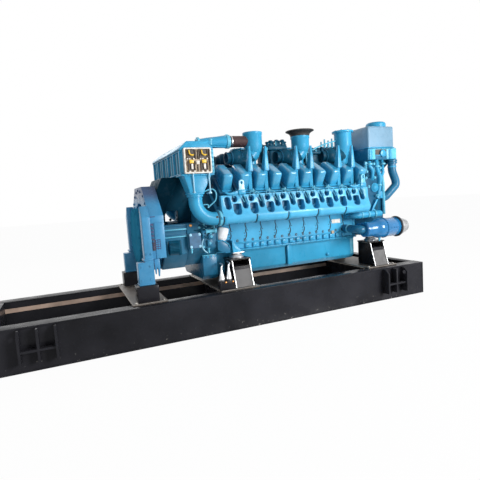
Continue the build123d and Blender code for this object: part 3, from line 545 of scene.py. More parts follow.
def dull(name, colour, roughness=0.6, spread=0.25, scale=20.0, depth=0.0008):
    """Rubber, plastic, sheet or dull paint with a fine mottle."""
    paint, tree, shader = finish_base(name, colour, roughness)
    link(tree, ramp(tree, noise(tree, scale, 5), [(0.3, scaled(colour, 1 - spread)),
        (0.7, scaled(colour, 1 + spread))]), shader.inputs["Base Color"])
    link(tree, between(tree, noise(tree, scale * 2, 3), roughness * 0.85, min(1.0, roughness * 1.15)),
        shader.inputs["Roughness"])
    bump(tree, shader, noise(tree, scale * 8, 2), 0.4, depth)
    return paint


PAINTS = {}


def make_paints(tones):
    """All the finishes, once, from the colours of the sidebar. Several are lit or shaded copies of the engine
    blue, which paint light and shade into the colour.
    """
    blue = tones.engine_blue
    PAINTS.update(blue=enamel("engine_blue", blue), tan=dull("tan_strip", (0.50, 0.36, 0.28), 0.5, 0.25,
        # light: a lit copy of the engine blue, a painted highlight on rims, strips and small fittings
        5.0), light=enamel("highlight_blue", toned(blue, 3.6, 1.5, 1.2), roughness=0.3),
        gloss=enamel("pump_blue", toned(blue, 0.3, 0.50, 0.70), roughness=0.16, coat=0.5),
        # mid: a shaded copy of the engine blue, a painted shade on parts that stand in shade
        mid=enamel("shade_middle_blue", toned(blue, 0.4, 0.44, 0.48)),
        # case: a darker copy of the engine blue for the gear case, a painted shade
        case=enamel("shaded_case_blue", toned(blue, 0.2, 0.26, 0.30), shine=0.15),
        # wall: a lighter copy of the engine blue for the crankcase wall and charge air pipe, painted light
        wall=enamel("lit_wall_blue", toned(blue, 2.1, 1.3, 1.26)), disc=enamel("disc_blue",
        toned(blue, 0.8, 0.75, 0.75), roughness=0.7, coat=0.0, shine=0.0),
        cover=enamel("cover_blue", toned(blue, 1, 0.95, 0.95), roughness=0.25, coat=1.0),
        # ring_blue: darker navy above 1.70 m, a painted shade on the ring housing's upper part
        ring_blue=shaded_above(enamel("ring_blue", toned(blue, 1.7, 0.86, 0.92)), 1.70,
        # tank: its own blue made lighter and greyer, a painted reflection of the sheen on its near face
        (0.060, 0.110, 0.225)), tank=enamel("tank_blue_with_painted_sheen", (0.165, 0.300, 0.415), roughness=0.3),
        navy=enamel("shaded_blue", tones.shaded_blue, roughness=0.42, coat=0.1),
        # deep: a darker copy of the shaded blue, partly the turbochargers' own dark paint, partly a painted
        # shade on parts in the valley and in recesses
        deep=enamel("deep_shade_blue", toned(tones.shaded_blue, 0.3, 0.52, 0.52), roughness=0.34, coat=0.0,
        # dark: the darkest blue, a painted shade on the cooler bracket and the guard's slots, and the dark
        # seam under the lid
        shine=0.1), dark=enamel("darkest_shade_blue", (0.002, 0.034, 0.060), roughness=0.55, coat=0.0,
        shine=0.05), pale=enamel("pale_fittings", tones.pale_blue, roughness=0.3, coat=0.4),
        black=black_gloss("frame_black", tones.frame_black), tread=dull("plate_tread",
        # worn: pale metal on rounded edges of black parts, partly wear, partly a painted highlight
        (0.105, 0.088, 0.074), 0.45, 0.35, 6.0, 0.001), worn=metal("worn_and_highlit_edge", (0.42, 0.40, 0.37),
        0.45, grain=60.0), steel=metal("zinc_steel", (0.70, 0.71, 0.72), 0.3),
        plate=dull("plain_plate", (0.095, 0.092, 0.092), 0.6, 0.2, 12.0),
        zinc_pale=metal("pale_zinc", (0.78, 0.79, 0.80), 0.42), brass=metal("small_tap",
        (0.80, 0.36, 0.12), 0.35), nose=metal("cast_aluminium", (0.50, 0.51, 0.52), 0.45),
        rubber=dull("black_rubber", (0.018, 0.018, 0.02), 0.55),
        hose=dull("hose_rubber", (0.055, 0.026, 0.026), 0.5), soot=dull("burnt_black",
        (0.03, 0.027, 0.025), 0.55), beige=dull("panel_beige", (0.40, 0.31, 0.21), 0.5),
        ivory=dull("panel_frame", (0.70, 0.66, 0.60), 0.4), cell=dull("cell_dark", (0.05, 0.035, 0.025),
        0.5), yellow=dull("yellow_lead", (0.80, 0.50, 0.04), 0.4, 0.1),
        film=dull("wrapping_film", (0.80, 0.82, 0.83), 0.18, 0.08, 16.0, 0.004),
        violet=dull("box_violet", (0.045, 0.130, 0.235), 0.6, 0.2),
        grille=dull("grille_navy", (0.035, 0.045, 0.13), 0.45),)


# Sidebar values
class EngineTones(bpy.types.PropertyGroup):
    engine_blue: FloatVectorProperty(name="Engine blue", description="Paint of the engine castings",
        subtype="COLOR", size=3, default=(0.034, 0.310, 0.525), min=0, max=1)
    shaded_blue: FloatVectorProperty(name="Shaded blue",
        description="Paint of the turbochargers and housings", subtype="COLOR", size=3,
        default=(0.014, 0.120, 0.215), min=0, max=1)
    pale_blue: FloatVectorProperty(name="Pale blue", description="Paint of the small light fittings",
        subtype="COLOR", size=3, default=(0.33, 0.62, 0.78), min=0, max=1)
    frame_black: FloatVectorProperty(name="Frame black", description="Paint of the base frame",
        subtype="COLOR", size=3, default=(0.014, 0.014, 0.017), min=0, max=1)


class EngineSizes(bpy.types.PropertyGroup):
    casting_edge: FloatProperty(name="Casting edge",
        description="Rounding of the large castings' edges", unit="LENGTH", default=0.008, min=0.0,
        max=0.03)
    cover_edge: FloatProperty(name="Cover edge", description="Rounding of the head covers' edges",
        unit="LENGTH", default=0.030, min=0.0, max=0.05)
    sheet_edge: FloatProperty(name="Sheet edge", description="Rounding of folded sheet and plate edges",
        unit="LENGTH", default=0.004, min=0.0, max=0.01)
    bolt_size: FloatProperty(name="Bolt size", description="Radius of the common bolt heads",
        unit="LENGTH", default=0.012, min=0.004, max=0.03)


class StageSettings(bpy.types.PropertyGroup):
    camera_place: FloatVectorProperty(name="Camera place", description="Where the photographer stood",
        subtype="TRANSLATION", size=3, default=(-2.08, -5.63, 1.694))
    camera_turn: FloatVectorProperty(name="Camera turn",
        description="Direction of the camera, in radians", subtype="EULER", size=3,
        default=[math.radians(a) for a in (84.248, 3.798, -23.432)])
    focal_length: FloatProperty(name="Focal length",
        description="Lens, in millimetres on a 36 mm sensor", default=30.3, min=10, max=200)
    key_power: FloatProperty(name="Key power", description="Power of the large lamp, in watts",
        default=1050.0, min=0)
    fill_power: FloatProperty(name="Fill power",
        description="Power of the lamp on the drive side, in watts", default=70.0, min=0)
    sky_level: FloatProperty(name="Sky level", description="Brightness of the white surroundings",
        default=0.36, min=0)


def softened(node, paint, width, steps=2, extra=(), edge=None):
    """The CAD node painted, with its edges rounded, and any extra pieces joined to it."""
    body = copy_of(node)
    painted([body], paint)
    if edge:
        body.data.materials.append(PAINTS[edge])
    rounded(body, width, steps, edge_slot=1 if edge else -1)
    return dress(node + "_finished", [body, *extra], [node])


class ENGINE_OT_base_frame(bpy.types.Operator):
    """Finishes the welded rails, members, plates and lifting lugs"""
    bl_idname = "engine_set.base_frame"
    bl_label = "Base Frame"

    def execute(self, context):
        edge = context.scene.engine_sizes.sheet_edge
        for node in ("rail_end_plates", "cross_members", "lifting_lugs", "post_blocks"):
            softened(node, "black", edge)
        for node, side in (("rail_near", -1), ("rail_far", 1)):
            softened(node, "black", edge, extra=self.seams(node, side))
        plates = self.plate_bolts()
        # The plates' rounded edges in the worn metal: partly wear, partly a painted highlight
        softened("cover_plates", "tread", 0.003, steps=1, edge="worn", extra=plates)
        return {"FINISHED"}

    def seams(self, node, side):
        """Weld beads under the top flange and over the foot, and the pale strip inside the far rail."""
        low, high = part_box(node)
        face = low.y + 0.008 if side < 0 else high.y - 0.008
        beads = [tube([(low.x, face, z), (high.x, face, z)], 0.006, fineness=1)
            for z in (low.z + 0.022, high.z - 0.022)]
        strips = []
        if side > 0:
            strips = [brick((low.x + 0.02, high.y - 0.205, 0.345), (2.34, high.y - 0.200, 0.405), 0.002,
                1)]
        return painted(beads, "black") + painted(strips, "tan")

    def plate_bolts(self):
        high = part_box("cover_plates")[1]
        spots = [(x, side * (high.y - 0.05), high.z) for x in (-1.40, -1.06, -0.26, 0.20, 2.15, 2.63)
            for side in (-1, 1)]
        return painted(hexes(spots, UP, 0.016), "worn")


class ENGINE_OT_pedestals(bpy.types.Operator):
    """Models the pedestals, their rubber mounts and the engine's feet"""
    bl_idname = "engine_set.pedestals"
    bl_label = "Pedestals and Mounts"

    def execute(self, context):
        low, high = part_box("pedestals")
        length = 0.265
        centres = (low.x + 0.014 + length / 2, high.x - 0.014 - length / 2)
        window_z = high.z - 0.140
        plates = []
        strips = []
        for x in centres:
            left, right = x - length / 2 + 0.012, x + length / 2 - 0.012
            lower, upper = (-0.7295, low.z + 0.003), (-0.6525, window_z)
            plates += [slab([(left, *lower), (right, *lower), (right, *upper), (left, *upper)],
                (0, 0.006, 0), 0.002, 1)]
            # Pale zinc strips down the front plate's edges: partly bare edge metal, partly a painted highlight
            for edge in (left - 0.013, right + 0.001):
                strips += [slab([(edge, -0.739, low.z + 0.003), (edge + 0.012, -0.739, low.z + 0.003),
                    (edge + 0.012, -0.637, high.z - 0.022), (edge, -0.637, high.z - 0.022)],
                    (0, 0.006, 0), 0.002, 1)]
        strips = painted(both_banks(strips), "zinc_pale")
        plates = painted(both_banks(plates), "plate")
        # The pedestal's rounded edges in the worn metal: partly wear, partly a painted highlight
        softened("pedestals", "black", 0.004, steps=1, edge="worn",
            extra=plates + strips)
        self.mounts(centres)
        self.feet(centres)
        self.drain_valves()
        return {"FINISHED"}

    def mounts(self, centres):
        """A bolted steel dish, a rubber cone and a steel cap under each foot."""
        low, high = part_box("rubber_mounts")
        tall = high.z - low.z
        made = []
        for x in centres:
            foot = (x, MOUNT_Y, low.z)
            dish = turned(mm(0, 0, 0, 98, 12, 100, 20, 96, 34, 80, 46, 73, 46, 0), foot)
            cone = turned(mm(46, 0, 46, 70, 52, 68, 52, 0), foot)
            cap = turned([(0.052, 0), (0.052, 0.066), (0.056, 0.072), (tall - 0.002, 0.072),
                (tall, 0.068), (tall, 0)], foot)
            spots = around((x, MOUNT_Y, low.z + 0.014), 0.086, (0.8, 2.3, 3.9, 5.5), "Z")
            made += painted([dish, cap] + hexes(spots, UP, 0.008), "zinc_pale")
            made += painted([cone], "rubber")
        dress("rubber_mounts_finished", both_banks(made), ["rubber_mounts"])

    def feet(self, centres):
        """Pale foot plates over the mounts, with a sweeping gusset on the left and a long arm on the right."""
        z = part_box("engine_feet")[0].z
        pale, blue, dark = [], [], []
        for x in centres:
            pale.append(brick((x - 0.085, -0.585, z), (x + 0.085, -0.415, z + 0.016), 0.006))
            pale.append(turned(mm(0, 0, 0, 52, 10, 50, 14, 40, 14, 0), (x, MOUNT_Y, z + 0.016)))
            pale += hexes([(x, MOUNT_Y, z + 0.028)], UP, 0.028, 0.026)
            pale.append(rod((x, MOUNT_Y, z + 0.05), (x, MOUNT_Y, z + 0.076), 0.014, 0.002, 16, 1))
        left, right = centres
        for y in (-0.575, -0.425):
            blue.append(slab([(left - 0.085, y, z + 0.014), (left + 0.055, y, z + 0.014),
                (left + 0.030, y, z + 0.045), (left - 0.030, y, z + 0.100),
                (left - 0.085, y, z + 0.172)], (0, 0.018, 0), 0.004))
        blue.append(slab([(left - 0.085, -0.57, z + 0.170), (left - 0.030, -0.57, z + 0.098),
            (left + 0.020, -0.57, z + 0.050), (left + 0.026, -0.57, z + 0.060),
            (left - 0.024, -0.57, z + 0.112), (left - 0.080, -0.57, z + 0.180)], (0, 0.16, 0), 0.003))
        blue.append(brick((left - 0.085, -0.585, z + 0.010), (left - 0.060, -0.405, z + 0.060), 0.006))
        dark.append(slab([(right - 0.30, -0.585, z + 0.150), (right - 0.30, -0.585, z + 0.060),
            (right - 0.08, -0.585, z + 0.012), (right + 0.100, -0.585, z + 0.012),
            (right + 0.100, -0.585, z + 0.070), (right - 0.02, -0.585, z + 0.150)], (0, 0.18, 0),
            0.014))
        blue.append(brick((right - 0.29, -0.592, z + 0.128), (right - 0.03, -0.40, z + 0.158), 0.006))
        blue.append(brick((right - 0.11, -0.590, z + 0.004), (right + 0.118, -0.41, z + 0.020), 0.005))
        made = painted(pale, "zinc_pale") + painted(blue, "blue")
        made += painted(dark, "mid")
        dress("engine_feet_finished", both_banks(made), ["engine_feet"])

    def drain_valves(self):
        """Two conical valves on the black bracket beside the left pedestal."""
        top = DECK_Z + 0.118
        shelf = brick((-0.300, -0.745, DECK_Z), (-0.112, -0.590, top), 0.006)
        rail = brick((-0.322, -0.748, DECK_Z), (-0.300, -0.700, top + 0.004), 0.004)
        steel, stems, knobs = [], [], []
        for x, tall in ((-0.262, 0.150), (-0.160, 0.165)):
            foot = (x, -0.660, top)
            steel.append(turned([(0, 0), (0, 0.034), (0.010, 0.040), (0.022, 0.040),
                (tall * 0.5, 0.028), (tall * 0.85, 0.016), (tall, 0.012), (tall, 0)], foot))
            stems.append(tube([(x, -0.660, top + tall - 0.01), (x + 0.006, -0.655, top + tall + 0.03),
                (x + 0.034, -0.630, top + tall + 0.055), (x + 0.040, -0.52, top + tall + 0.060)], 0.011,
                0.012))
            knobs.append(turned(mm(0, 0, 0, 12, 10, 12, 14, 6, 14, 0), (x + 0.020, -0.744, top - 0.014),
                NEARER, 14))
        parts = (painted([shelf, rail], "black") + painted(steel + stems, "zinc_pale")
            + painted(knobs, "brass"))
        dress("drain_valves", parts)


class ENGINE_OT_crankcase(bpy.types.Operator):
    """Models the crankcase with its joints, bosses and bolts, and the oil pan under it"""
    bl_idname = "engine_set.crankcase"
    bl_label = "Crankcase and Oil Pan"

    def execute(self, context):
        size = context.scene.engine_sizes.bolt_size
        edge = context.scene.engine_sizes.casting_edge
        # The crankcase wall in the lighter wall blue: painted light
        softened("crankcase", "wall", edge, extra=both_banks(self.joints()
            + self.ledge(size)))
        softened("side_bosses", "blue", 0.007, extra=both_banks(self.boss_slots()))
        softened("oil_pan", "blue", 0.012, extra=both_banks(self.pan_trim(size)))
        # The sump step in the shaded middle blue: a painted shade
        softened("sump_step", "mid", 0.014, extra=both_banks(self.step_trim(size)))
        return {"FINISHED"}

    def joints(self):
        """The wavy black sealing bead between neighbouring cylinders, with a hook at its foot."""
        x = GAP_X[0]
        y = CASE_WALL - 0.0015
        bead = tube([(x + 0.004, y, 1.376), (x - 0.010, y, 1.330), (x + 0.010, y, 1.285),
            (x - 0.006, y, 1.245), (x + 0.012, y, 1.205), (x + 0.002, y, 1.160), (x - 0.022, y, 1.128),
            (x - 0.040, y, 1.138)], 0.0062, 0.012, fineness=1, corner_steps=2)
        dots = [rod((x + dx, y + 0.002, z), (x + dx, y - 0.006, z), 0.0075, 0.002, sides=10, steps=1)
            for dx, z in ((-0.026, 1.215), (0.024, 1.255), (-0.020, 1.175))]
        return repeated(join(painted([bead, *dots], "rubber")), GAP_X)

    def ledge(self, size):
        """The ledge with its row of bolts and a painted shadow disc behind each, and the pale plate and round
        plug at its right end.
        """
        shelf = [brick((CASE_LOW.x + 0.012, CASE_WALL - 0.010, 1.072),
            (CASE_HIGH.x - 0.02, CASE_WALL + 0.01, 1.094), 0.004)]
        rib = [brick((x - 0.006, CASE_WALL - 0.006, 1.02), (x + 0.006, CASE_WALL + 0.006, 1.372), 0.003,
            1) for x in (CASE_LOW.x + 0.04, CASE_HIGH.x - 0.045)]
        spots = [(CASE_LOW.x + 0.10 + i * 0.12, CASE_WALL - 0.0005, 1.116) for i in range(19)]
        bolts = hexes(spots, NEARER, size * 0.8)
        # Black discs behind the bolts: a painted shadow under each head
        first = rod(Vector(spots[0]), Vector(spots[0]) - Vector((0, 0.003, 0)), size * 1.6, sides=12)
        shade = [first] + copies(first, [Vector(spot) - Vector(spots[0]) for spot in spots[1:]])
        plate = [brick((1.71, CASE_WALL - 0.006, 1.225), (1.87, CASE_WALL + 0.004, 1.288), 0.003)]
        plug = [turned(mm(0, 0, 0, 26, 12, 26, 14, 18, 10, 12, 10, 0), (1.71, CASE_WALL - 0.012, 1.092),
            NEARER, 24)]
        return (painted(shelf + rib + bolts, "blue") + painted(shade, "rubber")
            + painted(plate, "ivory") + painted(plug, "beige"))

    def boss_slots(self):
        """Small slots on two of the square bosses."""
        return painted([opening((x, CASE_WALL - 0.004, 1.050), 0.016, 0.036, 0.007, 0.007, 0.006)
            for x in (1.02, 1.14)], "rubber")

    def pan_trim(self, size):
        """Flange bolts along the pan's top, its middle rib with a strip of painted shade down its left side,
        end strip and drain plugs.
        """
        low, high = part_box("oil_pan")
        y = -0.436
        spots = [(low.x + 0.09 + i * 0.12, y + 0.001, high.z - 0.011) for i in range(20)]
        bolts = hexes(spots, NEARER, size * 0.75)
        lip = brick((low.x + 0.004, -0.345, high.z - 0.052), (high.x - 0.004, -0.325, high.z - 0.026),
            0.006)
        middle = low.x + 1.2
        rib = slab([(middle - 0.048, -0.326, low.z + 0.04), (middle - 0.040, -0.374, low.z + 0.04),
            (middle + 0.046, -0.352, low.z + 0.04), (middle + 0.052, -0.326, low.z + 0.04)],
            (0, 0, high.z - low.z - 0.062), 0.005)
        # A dark strip down the rib's left side: a painted shade
        rib_shade = brick((middle - 0.056, -0.336, low.z + 0.05), (middle - 0.044, -0.326, high.z - 0.03),
            0.003)
        strip = brick((high.x - 0.072, -0.336, low.z + 0.07), (high.x - 0.004, -0.325, high.z - 0.03),
            0.006)
        plugs = [turned(mm(0, 0, 0, 30, 12, 30, 16, 22, 30, 22, 30, 0), (x, -0.328, low.z + 0.115),
            NEARER, 20) for x in (0.30, 1.66)]
        return (painted(bolts + [lip, rib, *plugs], "blue") + painted([rib_shade], "deep")
            + painted([strip], "light"))

    def step_trim(self, size):
        """The pale upper edge, corner screws and foot strip of the sump step."""
        low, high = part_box("sump_step")
        spots = [(low.x + 0.025 + i * 0.053, -0.469, high.z - 0.030) for i in range(4)]
        bolts = hexes(spots, NEARER, size * 0.7)
        # The step's upper edge in the lighter blue: a painted highlight
        top = brick((low.x - 0.002, -0.478, high.z - 0.012), (high.x - 0.003, -0.45, high.z), 0.004)
        foot = brick((low.x + 0.01, -0.405, low.z), (high.x - 0.01, -0.30, low.z + 0.004), 0.001, 1)
        return painted(bolts + [foot], "blue") + painted([top], "light")


class ENGINE_OT_heads(bpy.types.Operator):
    """Models the cylinder heads and their tall rounded covers"""
    bl_idname = "engine_set.heads"
    bl_label = "Heads and Covers"

    def execute(self, context):
        sizes = context.scene.engine_sizes
        softened("cylinder_heads", "navy", 0.007,
            extra=both_banks(self.head_screws(sizes)))
        dress("head_covers_finished", both_banks(self.covers(sizes) + self.cover_trim(sizes)),
            ["head_covers"])
        return {"FINISHED"}

    def covers(self, sizes):
        """Tall covers whose noses and valley corners are widely rounded."""
        x = CYLINDER_X[0] - COVER_WIDE / 2 - 0.006
        outline = [(0, -0.120), (0.235, -0.062), (0.145, 0.262), (0.040, 0.262), (0, 0.15)]
        body = slab([on_bank(x, HEAD_REACH + reach, side) for reach, side in outline],
            (COVER_WIDE + 0.012, 0, 0))
        with editing(body):
            bpy.ops.mesh.select_all(action="DESELECT")
        points = [v.co.copy() for v in body.data.vertices]
        for edge in body.data.edges:
            a, b = (points[i] for i in edge.vertices)
            edge.select = abs(a.x - b.x) > 0.01 and a.z > ROUND_TOP
        with editing_as_is(body):
            bpy.ops.mesh.bevel(offset=0.036, segments=6, affect="EDGES")
        rounded(body, sizes.cover_edge, 5, 40)
        return painted(repeated(body, CYLINDER_X), "cover")

    def head_screws(self, sizes):
        """Studs on the lower side of each head, towards the charge air pipe."""
        x = CYLINDER_X[0]
        out = (0, -DIAGONAL, -DIAGONAL)
        spots = [on_bank(x + dx, 0.73 + dr, -0.16) for dx in (-0.075, 0.075) for dr in (0.0, 0.07)]
        return painted(repeated(join(hexes(spots, out, sizes.bolt_size)), CYLINDER_X), "navy")

    def cover_trim(self, sizes):
        """A base flange with its screws under each cover."""
        x = CYLINDER_X[0]
        half_wide = COVER_WIDE / 2 + 0.004
        a, b = on_bank(x - half_wide, HEAD_REACH, -0.132), on_bank(x - half_wide, HEAD_REACH, 0.158)
        c, d = on_bank(x - half_wide, HEAD_REACH + 0.014, 0.158), on_bank(x - half_wide,
            HEAD_REACH + 0.014, -0.132)
        flange = slab([a, b, c, d], (2 * half_wide, 0, 0), 0.005)
        spots = [on_bank(x + side * (half_wide - 0.008), HEAD_REACH + 0.013, s) for side in (-1, 1)
            for s in (-0.118, -0.02, 0.08)]
        screws = hexes(spots, (0, -DIAGONAL, DIAGONAL), sizes.bolt_size * 0.62)
        return painted(repeated(join([flange, *screws]), CYLINDER_X), "blue")


class ENGINE_OT_charge_air(bpy.types.Operator):
    """Models the charge air pipes with the windowed runners, fuel lines and lifting eyes"""
    bl_idname = "engine_set.charge_air"
    bl_label = "Charge Air Pipes"

    def execute(self, context):
        dress("charge_air_castings", both_banks([self.casting()]),
            ["air_manifolds", "runner_banks"])
        dress("manifold_joints", both_banks(self.collars()), ["manifold_clamps"])
        dress("fuel_lines", both_banks(self.fuel_lines()))
        dress("lifting_eyes_finished", both_banks(self.eyes()), ["lifting_eyes"])
        return {"FINISHED"}

    def casting(self):
        """Pipe and runners in one section, pierced by three windows at each cylinder."""
        turns = [math.radians(35 - i * 245 / 22) for i in range(23)]
        section = [(PIPE_Y - PIPE_R * math.cos(a), PIPE_Z + PIPE_R * math.sin(a)) for a in turns]
        section += [(-0.704, 1.575), (-0.704, RUNNER_TOP), (-0.772, RUNNER_TOP),
            (-0.777, RUNNER_TOP - 0.10), (-0.785, 1.600), (-0.799, 1.555)]
        body = slab([(PIPE_LOW.x, y, z) for y, z in section], (PIPE_HIGH.x - PIPE_LOW.x, 0, 0))
        shapes = ((-0.030, 1.652, 0.084, 0.168, 0.042, 0.042, 0.16),
            (0.066, 1.702, 0.082, 0.082, 0.038, 0.038, 0.35), (0.096, 1.568, 0.116, 0.146, 0.052, 0.026,
            0.0))
        cutters = []
        for dx, z, wide, tall, low, high, lean in shapes:
            first = opening((CYLINDER_X[0] + dx, -0.86, z), wide, tall, low, high, 0.215, lean)
            cutters += [first] + copies(first, [(x - CYLINDER_X[0], 0, 0) for x in CYLINDER_X[1:]
                if x + dx + wide / 2 < PIPE_HIGH.x - 0.01])
        cut(body, cutters)
        # The pipe in the lit wall blue, its rounded edges in the lighter blue as a painted highlight round the
        # windows
        painted([body], "wall")
        body.data.materials.append(PAINTS["light"])
        rounded(body, 0.010, 3, angle=42, edge_slot=1)
        # A darker wall behind the windows: a painted shade inside them
        wall = brick((PIPE_LOW.x + 0.01, -0.703, 1.560), (PIPE_HIGH.x - 0.01, -0.697,
            RUNNER_TOP - 0.004), 0.001, 1)
        return join([body, *painted([wall], "mid")])

    def collars(self):
        """The black joint between pipe lengths, with a collar beside it."""
        made = []
        places = [PIPE_LOW.x + 0.017] + GAP_X[1::2]
        for x in places:
            seal = ring((x - 0.010, PIPE_Y, PIPE_Z), RIGHT, PIPE_R + 0.001, 0.005, 36, 6)
            collar = turned([(0, 0.060), (0, PIPE_R + 0.006), (0.005, PIPE_R + 0.0115),
                (0.029, PIPE_R + 0.0115), (0.034, PIPE_R + 0.004), (0.034, 0.060), (0, 0.060)],
                (x - 0.004, PIPE_Y, PIPE_Z), RIGHT, 40)
            upper = PIPE_Z + 0.016
            for part in (collar, seal):
                cut(part, [brick((x - 0.03, PIPE_Y - 0.2, upper),
                    (x + 0.06, PIPE_Y + 0.2, upper + 0.2))])
            made += painted([seal], "rubber") + painted([collar], "blue")
        return made

    def fuel_lines(self):
        """A small fitting in each gap between the covers, with its bent pipes down to the runner."""
        x = GAP_X[0]
        foot = RUNNER_TOP - 0.002
        y = -0.742
        body = turned(mm(0, 0, 0, 13, 16, 13, 18, 8, 40, 8, 42, 12, 56, 12, 58, 6, 70, 6, 70, 0),
            (x, y, foot), sides=10)
        arm = [rod((x - 0.024, y, foot + 0.034), (x + 0.024, y, foot + 0.034), 0.0065, 0.001, 8, 1)]
        arm += hexes([(x - 0.022, y, foot + 0.034)], LEFT, 0.009, 0.010)
        arm += hexes([(x + 0.022, y, foot + 0.034)], RIGHT, 0.009, 0.010)
        front = y - 0.046
        routes = ([(x - 0.034, y, foot + 0.034), (x - 0.060, y - 0.02, foot + 0.030),
            (x - 0.072, front, foot), (x - 0.066, front - 0.004, foot - 0.034)],
            [(x + 0.034, y, foot + 0.034), (x + 0.056, y - 0.02, foot + 0.024),
            (x + 0.076, front, foot - 0.014), (x + 0.122, front - 0.010, foot - 0.130)],
            [(x + 0.006, y - 0.012, foot + 0.020), (x + 0.026, front, foot - 0.006),
            (x + 0.078, front - 0.008, foot - 0.098)], [(x - 0.050, y, foot + 0.052),
            (x + 0.010, y - 0.020, foot + 0.040), (x + 0.066, front + 0.008, foot + 0.006),
            (x + 0.104, front, foot - 0.046)])
        loops = [tube(route, 0.0045, 0.014, fineness=1, corner_steps=2) for route in routes]
        # The fitting and its pipes in the lighter blue: a painted highlight on them
        made = repeated(join(painted([body, *arm, *loops], "light")), GAP_X)
        rail = [rod((CYLINDER_X[0] - 0.06, y + 0.030, foot + 0.022),
            (CYLINDER_X[-1] + 0.05, y + 0.030, foot + 0.022), 0.010, 0.002, 12, 1)]
        return made + painted(rail, "blue")

    def eyes(self):
        """Pale teardrop eyes on feet that curve away to the left along the runner."""
        low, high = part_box("lifting_eyes")
        made = []
        for x in (low.x + 0.055, high.x - 0.055):
            top = high.z - 0.036
            y = -0.800
            outline = [(x - 0.048, RUNNER_TOP + 0.050), (x + 0.048, RUNNER_TOP + 0.050),
                (x + 0.038, RUNNER_TOP + 0.084)]
            outline += [(x + 0.036 * math.cos(a), top + 0.036 * math.sin(a))
                for a in [math.radians(-10 + 20 * i) for i in range(11)]]
            outline += [(x - 0.038, RUNNER_TOP + 0.084)]
            plate = slab([(px, y - 0.012, pz) for px, pz in outline], (0, 0.024, 0))
            hole = opening((x, y - 0.02, top - 0.004), 0.030, 0.046, 0.015, 0.015, 0.04)
            cut(plate, [hole])
            rounded(plate, 0.005, 2, 40)
            foot = brick((x - 0.055, -0.818, RUNNER_TOP), (x + 0.055, -0.719, RUNNER_TOP + 0.064),
                0.014, 3)
            arm = [(x - 0.04, RUNNER_TOP), (x - 0.04, RUNNER_TOP + 0.062),
                (x - 0.10, RUNNER_TOP + 0.040), (x - 0.17, RUNNER_TOP + 0.030),
                (x - 0.225, RUNNER_TOP + 0.044), (x - 0.235, RUNNER_TOP + 0.030),
                (x - 0.19, RUNNER_TOP + 0.004), (x - 0.12, RUNNER_TOP)]
            arm = slab([(px, -0.802, pz) for px, pz in arm], (0, 0.080, 0), 0.005)
            screws = hexes([(x - 0.08, -0.765, RUNNER_TOP + 0.028),
                (x + 0.036, -0.745, RUNNER_TOP + 0.036)], UP, 0.011)
            made += painted([plate], "pale" if x < 1 else "light")
            made += painted([foot, arm, *screws], "blue")
        return made


